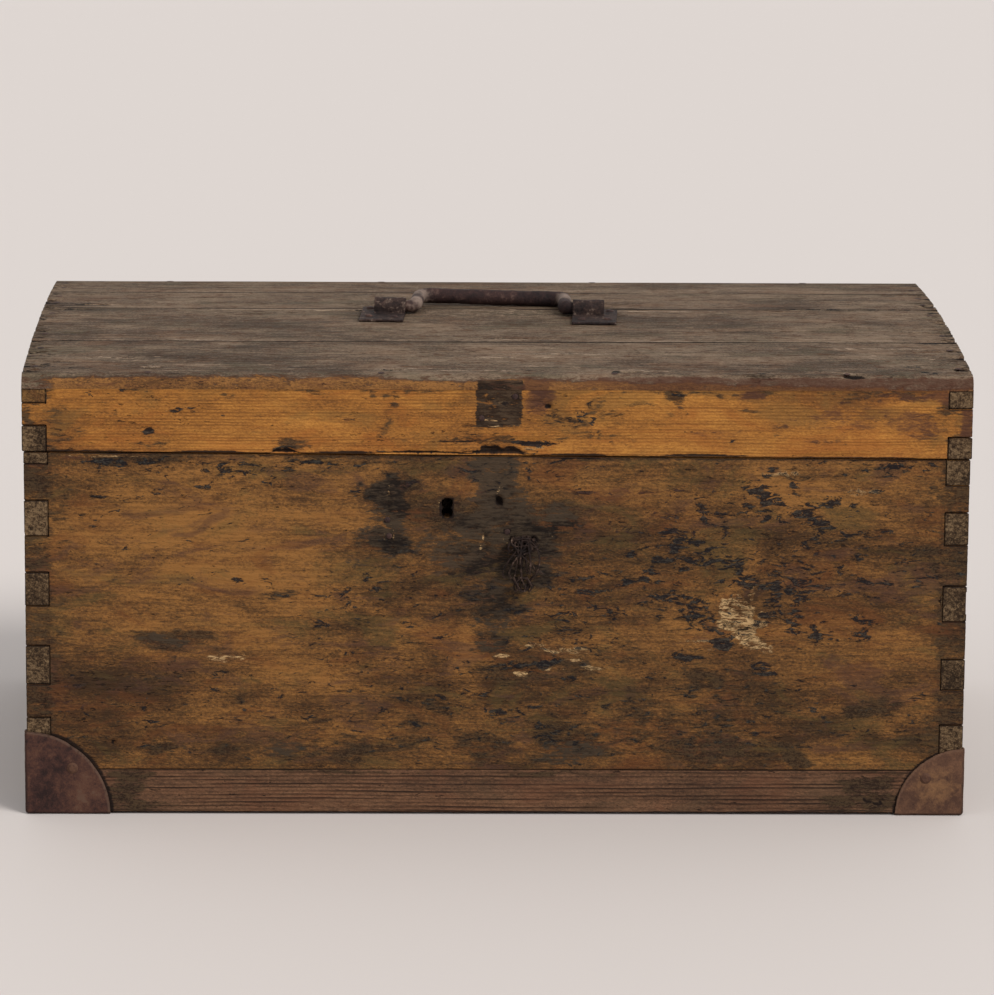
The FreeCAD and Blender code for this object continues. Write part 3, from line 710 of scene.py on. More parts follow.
def net_of(node, pitch):
    """A net over a packed board that is fine outside and coarse on the face towards the inside."""
    low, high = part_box(node)
    along, through, inward = lie_of[node]
    bm = merged_copy(node, ease_below=lid_joint - 0.1 * MM)

    def inner(face):
        return face.normal[through] * inward > 0.9

    def outer(face):
        return not inner(face)

    for axis in (X, Y, Z):
        if axis != through:
            slice_faces(bm, axis, ticks(low[axis], high[axis], pitch), outer)
            slice_faces(bm, axis, ticks(low[axis], high[axis], inside_pitch, ()), inner)
    slice_faces(bm, through, ticks(low[through], high[through], pitch), outer)
    return bm


# %% Storing values, placing pieces and moving points
def store(mesh, name, values):
    """Keeps one value per point as an attribute: four numbers as a colour, three as a vector."""
    kind, field = ("FLOAT_COLOR", "color") if values.shape[1] == 4 else ("FLOAT_VECTOR", "vector")
    attribute = mesh.attributes.new(name, kind, "POINT")
    attribute.data.foreach_set(field, values.astype(np.float32).ravel())


def put_in_place(bm, node, name, finishes, sharp_above=42):
    """Makes the object, lets it ride on its node's body, and lets it stand for the node."""
    mesh = bpy.data.meshes.new(name)
    bm.to_mesh(mesh)
    bm.free()
    for finish in finishes:
        mesh.materials.append(finish)
    mesh.polygons.foreach_set("use_smooth", [True] * len(mesh.polygons))
    mesh.set_sharp_from_angle(angle=math.radians(sharp_above))
    piece = bpy.data.objects.new(name, mesh)
    scene.collection.objects.link(piece)
    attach(piece, body_of_node[node])
    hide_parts(node)
    print(piece.name, len(mesh.polygons), "faces")
    return piece


def points_of(bm):
    """Cuts faces of many sides into triangles, and gives the points, their places and their normals."""
    bmesh.ops.triangulate(bm, faces=[face for face in bm.faces if len(face.verts) > 4])
    bm.normal_update()
    verts = list(bm.verts)
    return verts, np.array([vert.co for vert in verts]), np.array([vert.normal for vert in verts])


def sink_points(verts, normals, sink):
    """Moves each point in along its normal."""
    for vert, normal, amount in zip(verts, normals, sink):
        vert.co -= Vector(normal) * float(amount)


# %% [markdown]
# ## The board maker
# Every board goes through the same hands. It is ribbed, waved and knocked by noise of its own, its ends are
# rougher than its faces, and its rims lose the most. Then it gets its grain, its stains and its state,
# which say how light it is, how black its edges are, where end grain shows and where rust has run.

# %% The channels of the stains and of the state
GRIME, TAR, BARE, GHOST = range(4)
SHADE, EDGE, END, RUST = range(4)
grain_shifts = iter(range(1, 60))


def raise_to(channels, channel, values):
    """Raises one channel to some values wherever it is lower."""
    channels[:, channel] = np.maximum(channels[:, channel], values)


# %% Wearing a board
waves_across = 38.0
waves_along = 7.0


def worn_board(node, bm, finish, depth, paint, coat=None, wear=0.5, rim_dirt_and_shade=1.0, snug=None):
    """Wears and stains a net and puts it in its board's place. Rims at the height called snug stay whole."""
    along, through, inward = lie_of[node]
    across = 3 - along - through
    verts, places, normals = points_of(bm)
    for face in bm.faces:
        face.material_index = int(face.normal[through] * inward > 0.9)
    rim = smooth(-np.abs(normals).max(axis=1), -0.985, -0.80)
    if snug is not None:
        rim *= smooth(np.abs(places[:, Z] - snug) / MM, 0.6, 2.4)
    bm.verts.index_update()
    pairs = np.array([[vert.index for vert in edge.verts] for edge in bm.edges])
    beside = np.zeros(len(verts))
    np.maximum.at(beside, pairs[:, 0], rim[pairs[:, 1]])
    np.maximum.at(beside, pairs[:, 1], rim[pairs[:, 0]])
    end = smooth(np.abs(normals[:, along]), 0.75, 0.95)
    shift = next(grain_shifts)
    scale = [waves_across] * 3
    scale[along] = waves_along
    ribs = noise_at(places, [s * (6.5 if i != along else 1.2) for i, s in enumerate(scale)], shift)
    waves = noise_at(places, scale, shift + 9.5)
    knocks = rough_at(places, (34, 34, 34), 3, shift + 3.1)
    sink = 0.10 + 0.09 * ribs + 0.10 * waves
    sink += end * 0.14 * (1 + noise_at(places, (420, 420, 420), shift))
    sink += rim * wear * (0.45 + 0.9 * smooth(knocks, -0.1, 0.75))
    sink += depth(places, normals)
    sink = np.maximum(sink, 0.02) * MM
    sink_points(verts, normals, sink)
    mesh = put_in_place(bm, node, "worn_" + node, (finish, bare_pine)).data

    grain = places[:, (along, across, through)] + np.array([shift * 0.731, shift * 0.113, shift * 0.057])
    store(mesh, "grain", grain)
    marks = np.zeros((len(places), 4))
    state = np.zeros((len(places), 4))
    state[:, SHADE] = 0.5
    # Black edges: dirt rubbed into the rims and joints, and painted shade in the seam under the lid and in
    # the deepest hollows.
    state[:, EDGE] = np.maximum(smooth(sink / MM, 0.9, 2.6), np.maximum(rim, beside * 0.62) * rim_dirt_and_shade)
    state[:, END] = end
    paint(places, normals, marks, state)
    store(mesh, "marks", np.clip(marks, 0, 1))
    store(mesh, "state", np.clip(state, 0, 1))
    if coat is not None:
        honey_here = np.repeat(coat(places)[:, None], 4, axis=1)
        store(mesh, "coat", np.clip(honey_here, 0, 1))


# %% [markdown]
# ## Marks from tables
# Each board has its own scars, and they are what makes it this chest and not another. A board's marks are
# tables of soft spots: grime, tar, bare wood, the ghosts of lost plates, rust, black edges, lighter and
# darker wood, and pits. One function turns such tables into the two that the board maker wants, one for
# depth and one for paint.

# %% Depth and paint from tables
def marked(tables, across, up, facing_axis, side, level=0.0, drift=0.10, ruler=1.0):
    """The depth and the paint function of one face, from its tables. The ruler stretches them across."""
    stretch = [130.0, 130.0, 130.0]
    stretch[across] = 45.0

    def facing(normals):
        return smooth(normals[:, facing_axis] * side, 0.15, 0.6)

    def torn(places, amount, finer, shift):
        return amount * rough_at(places, [s * finer for s in stretch], 4, shift)

    def warped(places, reach, shift):
        """The places across and up, pushed about so that no mark keeps its oval."""
        coarse = [s * 0.55 for s in stretch]
        push_across = rough_at(places, coarse, 4, shift)
        push_up = rough_at(places, coarse, 4, shift + 20.0)
        return (places[:, across] * ruler + push_across * reach * MM,
                places[:, up] + push_up * 0.4 * reach * MM)

    def depth(places, normals):
        edge = torn(places, 0.35, 2.0, 4.2)
        here = places[:, across] * ruler, places[:, up]
        sink = 0.10 * spots(*here, edge, tables.get("tar", ()))
        for *oval, hollow in tables.get("pits", ()):
            sink += hollow * spots(*here, edge, [(*oval, 1.0)])
        return sink * facing(normals)

    def paint(places, normals, marks, state):
        soft = torn(places, 0.45, 1.0, 7.7)
        fine = torn(places, 0.45, 2.4, 2.2)
        wide = warped(places, 12.0, 4.4)
        near = warped(places, 6.0, 9.4)
        here = places[:, across] * ruler, places[:, up]
        seen = facing(normals)

        def lie(kind, where, tear, soften, power=2):
            """How strongly the marks of one kind lie on each point that can be seen."""
            return spots(*where, tear, tables.get(kind, ()), power, soften) * seen

        marks[:, GRIME] = lie("grime", wide, soft, 0.6)
        marks[:, TAR] = lie("tar", near, fine, 0.62)
        marks[:, BARE] = lie("bare", here, fine, 0.5)
        marks[:, GHOST] = lie("ghost", near, soft, 0.55)
        raise_to(marks, GHOST, lie("plates", here, 0.08 * soft, 0.10, power=9))
        state[:, SHADE] += level + drift * rough_at(places, (7, 7, 14), 3, 1.3)
        state[:, SHADE] += lie("light", wide, soft, 0.7) - lie("dark", wide, soft, 0.7)
        # Black marks are dirt, and along the seam under the lid they are painted shade.
        raise_to(state, EDGE, lie("black", here, 0.6 * fine, 0.3))
        state[:, RUST] = lie("rust", here, soft, 0.6)

    return depth, paint


# %% [markdown]
# ## The front board
# The front is what one sees first: honey varnish worn to brown, a dark ghost where the hasp plate lay, a
# dark greasy patch round the keyhole, flakes of black crust on the right and a pale scar where a knot broke
# out. Painting an image would tie it to one view. The marks are listed by where they are on the board, in
# millimetres from the middle and above the floor, and the finish tears their edges along the grain.

# %% Marks on the front board
front_grime = [
    (-79, 246, 15, 19, 0, 1.0), (-80, 210, 21, 15, 0, 0.95), (-55, 222, 18, 10, 0, 0.55),
    (-20, 230, 34, 13, 0, 1.0), (16, 226, 24, 14, 0, 1.0), (47, 230, 21, 12, 0, 0.95),
    (20, 200, 26, 28, 0, 1.0), (-8, 206, 18, 16, 0, 0.8), (-5, 160, 20, 26, 0, 0.80),
    (-4, 128, 18, 12, 0, 0.6), (30, 112, 44, 11, 0, 0.75), (-58, 268, 26, 5, 0, 0.5),
    (-150, 268, 40, 4, 0, 0.45), (-272, 271, 55, 4.5, 0, 1.0), (-120, 271, 60, 3, 0, 0.7),
    (-241, 134, 34, 8, 0, 1.0), (-190, 90, 6, 6, 0, 0.9), (-131, 73, 10, 4, 15, 0.9),
    (-44, 83, 8, 8, 0, 1.0), (-264, 100, 22, 9, 0, 0.45), (-212, 116, 28, 5, 0, 0.5),
    (-158, 170, 22, 7, 0, 0.4), (-250, 54, 14, 6, 0, 0.85), (-205, 48, 16, 6, 0, 0.9),
    (-165, 52, 34, 9, 0, 0.75), (-105, 50, 34, 10, 0, 0.8), (-60, 60, 22, 14, 0, 0.7),
    (-10, 52, 30, 14, 0, 0.8), (50, 56, 42, 18, 0, 0.85), (105, 74, 40, 28, 0, 0.75),
    (165, 88, 46, 30, 0, 0.62), (150, 52, 40, 14, 0, 0.8), (215, 50, 30, 9, 0, 0.6),
    (275, 80, 17, 8, 0, 1.0), (231, 42, 13, 7, 0, 1.0), (184, 51, 22, 8, 0, 0.95),
    (160, 106, 14, 10, 0, 0.95), (250, 66, 22, 6, 0, 0.6), (291, 84, 22, 10, 0, 0.85),
    (320, 60, 22, 12, 0, 0.75), (128, 166, 44, 26, 0, 0.45), (96, 190, 16, 20, 0, 0.5),
    (328, 196, 9, 14, 0, 0.8), (325, 250, 12, 10, 0, 0.5), (-330, 236, 10, 26, 0, 0.5),
    (-332, 150, 9, 40, 0, 0.45), (230, 120, 50, 10, 0, 0.35), (260, 262, 70, 5, 0, 0.5),
    (96, 122, 26, 8, 0, 0.55), (-296, 80, 26, 26, 0, 0.35),
]
front_ghost = [
    (-80, 244, 15, 17, 0, 0.95), (-80, 210, 20, 16, 0, 0.92), (-50, 212, 20, 9, 0, 0.62),
    (-6, 226, 34, 12, 0, 0.72), (20, 208, 28, 24, 0, 0.92), (46, 228, 19, 10, 0, 0.86),
    (-22, 200, 26, 18, 0, 0.80), (4, 172, 24, 20, 0, 0.74), (0, 138, 18, 16, 0, 0.55),
    (-100, 196, 12, 8, 0, 0.55), (12, 246, 22, 14, 0, 0.70), (0.5, 268, 18, 8, 0, 1.0),
    (0.5, 258, 18, 9, 0, 1.0), (-6, 246, 12, 10, 0, 0.9), (10, 250, 9, 9, 0, 0.9),
    (30, 190, 10, 14, 0, 0.8), (44, 228, 15, 9, 0, 0.7), (-16, 222, 20, 8, 0, 0.7),
    (-2, 152, 16, 18, 0, 0.7), (-104, 252, 3, 3, 0, 0.8), (-241, 134, 24, 5, 0, 0.8),
    (56, 50, 22, 9, 0, 0.7), (-160, 50, 22, 5, 0, 0.6),
]
front_tar = [
    (200, 195, 120, 62, 0, 0.36), (60, 165, 60, 40, 0, 0.34), (-70, 150, 80, 60, 0, 0.22),
    (0, 80, 320, 32, 0, 0.26), (-250, 220, 80, 50, 0, 0.12), (-190, 264, 130, 8, 0, 0.40),
    (20, 262, 60, 12, 0, 0.34), (250, 266, 90, 6, 0, 0.34), (194, 250, 13, 6, -34, 1.0),
    (203, 243, 12, 8, -20, 1.0), (212, 240, 8, 4, 0, 1.0), (201, 229, 3, 5, 0, 0.9),
    (186, 236, 6, 4, 0, 0.8), (230, 233, 11, 4.5, 0, 1.0), (245, 224, 10, 4, -10, 1.0),
    (240, 216, 9, 6, 0, 1.0), (243, 232, 4, 4, 0, 0.8), (252, 240, 6, 3, 0, 0.8),
    (267, 214, 12, 3.6, 0, 1.0), (268, 199, 10, 3.5, 0, 0.9), (234, 206, 6, 5, 0, 0.9),
    (244, 207, 10, 2.2, 12, 0.9), (133, 217, 14, 3, 0, 0.95), (144, 211, 14, 3, -8, 0.9),
    (134, 205, 7, 8, 0, 0.8), (150, 195, 16, 4, 0, 1.0), (172, 193, 15, 5, -6, 1.0),
    (182, 187, 9, 4, 0, 1.0), (156, 202, 8, 3, 20, 0.8), (193, 176, 11, 7, -20, 1.0),
    (208, 172, 7, 11, 0, 1.0), (222, 173, 11, 6, 0, 1.0), (228, 168, 9, 4, 0, 0.9),
    (114, 186, 7, 11, 0, 0.8), (120, 196, 10, 4, 0, 0.7), (134, 170, 15, 6, 0, 0.95),
    (150, 161, 18, 8, -10, 1.0), (158, 152, 9, 5, 0, 0.9), (208, 156, 12, 7, 0, 1.0),
    (222, 153, 9, 9, 0, 1.0), (170, 133, 7, 8, 0, 1.0), (198, 115, 10, 4.5, -14, 1.0),
    (206, 110, 6, 3, 0, 0.9), (226, 142, 12, 4, 0, 0.9), (240, 139, 6, 8, 0, 0.95),
    (273, 146, 9, 9, 0, 1.0), (276, 138, 6, 5, 0, 1.0), (146, 124, 13, 4.5, 0, 0.9),
    (90, 178, 10, 5, 0, 0.8), (72, 172, 12, 4, 0, 0.85), (82, 160, 16, 4, 0, 0.8),
    (60, 136, 9, 3, 0, 0.8), (40, 120, 14, 4, 10, 0.8), (18, 114, 16, 3.5, -6, 0.95),
    (52, 104, 12, 3, 0, 0.8), (-98, 182, 5, 4, 0, 0.9), (-84, 174, 7, 3, 0, 0.8),
    (-112, 170, 12, 3, 0, 0.6), (-106, 248, 5, 5, 0, 0.7), (-94, 240, 4, 3, 0, 0.8),
    (-38, 266, 14, 2.4, 0, 0.8), (-62, 254, 5, 3, 0, 0.7), (302, 196, 12, 3, 0, 0.7),
    (318, 182, 14, 3, 0, 0.85), (278, 180, 8, 3, 0, 0.7), (176, 262, 8, 2.5, 0, 0.8),
    (207, 262, 6, 2.5, 0, 0.8), (226, 253, 5, 3, 0, 0.7), (-302, 242, 5, 2, 0, 0.8),
    (-301, 220, 6, 2, 0, 0.8), (-206, 263, 7, 5, 0, 0.8), (-214, 250, 5, 3, 0, 0.7),
    (-282, 270, 46, 2.6, 0, 0.85), (-196, 268, 26, 3, 0, 0.8), (-120, 269, 46, 2.6, 0, 0.7),
    (300, 268, 30, 3, 0, 0.7), (222, 247, 7, 4, 0, 0.8), (202, 249, 5, 8, 0, 0.8),
    (236, 236, 4, 4, 0, 0.8), (150, 236, 5, 4, 0, 0.8), (160, 226, 3, 7, 0, 0.8),
    (168, 222, 8, 2, 0, 0.7), (136, 199, 6, 13, 0, 0.8), (102, 200, 9, 5, 0, 0.8),
    (250, 190, 22, 3, 0, 0.7), (306, 202, 10, 3, 0, 0.7), (228, 178, 18, 5, 0, 0.8),
    (300, 178, 26, 1.6, 0, 0.75), (-170, 254, 6, 2, 0, 0.8), (-193, 180, 5, 2.5, 0, 0.8),
    (-171, 175, 6, 5, 0, 0.9), (-132, 146, 6, 4, 0, 0.8), (-124, 145, 4, 3, 0, 0.7),
    (-200, 222, 6, 2, 0, 0.7), (110, 232, 5, 2, 0, 0.6), (62, 248, 6, 2.5, 0, 0.7),
]
front_bare = [
    (-77.5, 216, 0.9, 9, 8, 0.42), (-84, 214, 0.9, 3, 0, 0.4), (-81, 247, 0.9, 8, -8, 0.38),
    (-43.6, 236, 0.9, 8, 0, 0.36), (8, 208, 0.9, 10, 35, 0.36), (-11, 209, 0.9, 9, -12, 0.40),
    (2, 250, 1.2, 8, -30, 0.36), (40, 214, 2, 1.2, 0, 0.4), (-24, 206, 6, 1.0, -8, 0.36),
    (196, 273.4, 24, 1.2, 0, 0.6), (244, 273.2, 12, 1.0, 0, 0.5), (-290, 273.6, 30, 1.0, 0, 0.5),
    (181, 153, 13, 13, 25, 1.0), (175, 160, 8, 8, 0, 1.0), (186, 141, 10, 7, 0, 0.9),
    (193, 133, 12, 5, -12, 0.62), (192, 170, 3, 6, 0, 0.8), (200, 151, 4, 6, 0, 0.85),
    (204, 128, 6, 3, 0, 0.5), (181, 153, 6, 6, 0, 1.0), (214, 262, 18, 3, 0, 0.35),
    (226, 236, 9, 2, 0, 0.5), (178, 128, 20, 2, 0, 0.4), (150, 134, 12, 1.6, 0, 0.45),
    (19, 109, 7, 2.2, 0, 0.9), (46, 126, 12, 3, 0, 0.5), (28, 131, 10, 2, 0, 0.5),
    (58, 120, 9, 2, 0, 0.5), (6, 123, 8, 2, 0, 0.6), (72, 113, 14, 1.5, 0, 0.6),
    (-200, 120, 18, 4, 0, 0.4), (34, 112, 16, 1.6, 0, 0.5), (60, 126, 10, 4, 0, 0.45),
    (274, 248, 14, 5, 0, 0.3),
]
front_light = [
    (-22, 120, 8, 38, 0, 0.26), (-17, 237, 4, 12, 0, 0.30), (-318, 196, 12, 18, 0, 0.14),
    (210, 252, 24, 9, 0, 0.10), (-205, 226, 120, 42, 0, 0.22), (-110, 240, 44, 26, 0, 0.16),
    (-250, 180, 80, 40, 0, 0.14), (-170, 108, 90, 28, 0, 0.12), (-250, 76, 70, 14, 0, 0.10),
    (60, 250, 30, 14, 0, 0.16), (240, 246, 50, 20, 0, 0.06), (270, 128, 40, 14, 0, 0.04),
    (292, 66, 15, 7, 0, 0.26), (170, 212, 60, 14, 0, 0.05), (-122, 130, 60, 26, 0, 0.10),
]
front_pits = [
    (182, 153, 12, 11, 25, 1.3), (190, 138, 10, 6, 0, 0.8), (19, 109, 18, 4, 0, 0.6),
    (18, 200, 20, 20, 0, 0.4), (1.6, 240, 3.0, 3.6, 0, 5.0), (-82, 239, 2.2, 12, 0, 1.2),
    (-79, 207, 1.8, 12, 8, 1.0), (8, 206, 2.2, 12, -38, 0.6), (-9, 211, 1.6, 9, 14, 1.2),
    (-302, 242, 5, 1.8, 0, 0.8), (230, 233, 9, 3.5, 0, 0.6), (348, 164, 14, 8, 0, 2.8),
    (-289, 56, 1.6, 1.6, 0, 2.0), (-172, 176, 4, 4, 0, 0.5), (-110, 12, 3, 2, 0, 0.8),
]
front_dark = [
    (5, 212, 120, 52, 0, 0.20), (-90, 226, 40, 30, 0, 0.10), (60, 190, 70, 40, 0, 0.10),
    (280, 130, 40, 30, 0, 0.04), (60, 70, 200, 30, 0, 0.03), (-300, 120, 40, 60, 0, 0.06),
]
front_rust = [
    (100, 238, 60, 22, 0, 0.34), (150, 222, 30, 10, 0, 0.30), (250, 200, 50, 14, 0, 0.24),
    (215, 118, 26, 6, 0, 0.36), (-10, 190, 60, 20, 0, 0.28), (232, 62, 28, 6, 0, 0.34),
    (-318, 272.6, 14, 1.4, 0, 0.8), (300, 104, 30, 8, 0, 0.3), (-40, 246, 40, 14, 0, 0.30),
    (-320, 90, 18, 14, 0, 0.34), (240, 170, 60, 30, 0, 0.18),
]

front_marks = {
    "grime": front_grime, "ghost": front_ghost, "tar": front_tar, "bare": front_bare, "light": front_light,
    "dark": front_dark, "rust": front_rust, "pits": front_pits,
    # Along the top edge the black marks are painted shade in the seam under the lid.
    "black": [
        (-268, 276.2, 60, 1.3, 0, 0.9), (-150, 275.6, 40, 1.3, 0, 0.9), (-44, 275, 30, 1.6, 0, 1.0),
        (64, 274, 40, 1.2, 0, 0.9), (180, 273.4, 50, 0.9, 0, 0.8), (290, 272.6, 40, 1.2, 0, 0.9),
    ],
}

# %% [markdown]
# ## The front board's own dirt and shade
# Some dirt follows the build and not the place, so it is worked out from the pieces: black against the arcs
# of the corner caps, which is dirt and painted shadow of the caps' edges, and brown along the dovetails and
# under the seam. The lower half is a little darker.

# %% Dirt and painted shadow against the corner caps
def cap_shadow(places, normals):
    """How much black lies on the front against the arc of a corner cap, from 0 to 1: dirt, and painted shadow
    of the cap's edge.
    """
    dark = np.zeros(len(places))
    for side, reach in (("left", 5.0), ("right", 2.6)):
        low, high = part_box("corner_cap_front_" + side)
        radius = np.hypot(places[:, X] - (low.x if side == "left" else high.x), places[:, Z] - low.z)
        past = (radius - (high.z - low.z)) / MM
        dark = np.maximum(dark, smooth(-past, -reach, -reach * 0.2))
    return dark * 0.8 * (normals[:, Y] < -0.5)


# %% The front board
front_fine = 1.7 * MM
front_ruler = 1.0115
lower_half = (70, 190)
dovetail_zone = (320, 334)
seam_zone = (268.5, 273)
front_depth, front_stain = marked(front_marks, X, Z, Y, -1, level=-0.02, ruler=front_ruler)


def front_paint(places, normals, marks, state):
    """The marks, the darker lower half, the dirt along the dovetails and under the seam, and the black by the
    caps: dirt and painted shadow.
    """
    front_stain(places, normals, marks, state)
    up = places[:, Z] / MM
    out = np.abs(places[:, X]) / MM
    state[:, SHADE] -= 0.06 * (1 - smooth(up, *lower_half))
    ragged = 5 * rough_at(places, (30, 30, 120), 4, 3.3)
    fringe = smooth(out + ragged, *dovetail_zone) * (normals[:, Y] < -0.5)
    raise_to(marks, GRIME, 0.75 * fringe)
    under_seam = smooth(up, *seam_zone) * (normals[:, Y] < -0.5)
    raise_to(marks, GRIME, under_seam * (0.62 + 0.5 * rough_at(places, (14, 60, 60), 3, 7.1)))
    raise_to(state, EDGE, cap_shadow(places, normals))


worn_board(
    "front_board", net_of("front_board", front_fine), front_pine,
    depth=front_depth, paint=front_paint, wear=0.55,
)

# %% [markdown]
# ## The strip along the foot
# A narrow plank closes the foot of the front. It is younger wood: reddish, cleaner, with straight dark
# lines a few millimetres apart. It reads as another board only because its grain and colour change at the
# joint, so it gets a finish of its own and a grain shift of its own.

# %% The foot plank
foot_marks = {
    "grime": [
        (-282, 20, 16, 16, 0, 1.0), (-268, 8, 22, 6, 0, 0.7), (284, 24, 24, 11, 0, 1.0),
        (262, 8, 24, 7, 0, 0.9), (-120, 33, 60, 2.5, 0, 0.7), (60, 33, 90, 2.5, 0, 0.6),
        (292, 12, 12, 12, 0, 1.0),
    ],
    "black": [(287, 9.6, 7, 0.9, -6, 1.0), (281, 12, 2.4, 0.9, -50, 1.0), (294, 12, 2.4, 0.9, 50, 1.0)],
    "dark": [(-10, 26, 120, 6, 0, 0.10), (180, 20, 60, 12, 0, 0.10)],
    "light": [(-150, 14, 90, 10, 0, 0.08), (60, 10, 80, 6, 0, 0.06)],
    "pits": [
        (287, 12, 8, 2.4, 0, 0.9), (-110, 4, 5, 2, 0, 0.8), (70, 4, 8, 1.6, 0, 0.6),
        (240, 4, 12, 1.6, 0, 0.8),
    ],
}
foot_depth, foot_stain = marked(foot_marks, X, Z, Y, -1, ruler=front_ruler)


def foot_paint(places, normals, marks, state):
    foot_stain(places, normals, marks, state)
    # Black by the caps: dirt, and painted shadow of their edges.
    raise_to(state, EDGE, cap_shadow(places, normals))


worn_board(
    "front_lower_plank", net_of("front_lower_plank", 2.0 * MM), foot_pine,
    depth=foot_depth, paint=foot_paint, wear=0.5,
)

# %% [markdown]
# ## The front of the lid
# The lid kept its varnish best, so its rings show as fine parallel lines on honey-coloured wood. The square
# dark shadow in the middle is where the hasp plate kept the light off the wood, and it is a stain, not a
# hollow, so it is painted. The splintered lower edge below it is real loss of wood, so it is sunk, and it is
# painted black as well, as shade in its hollows and in the seam beneath.

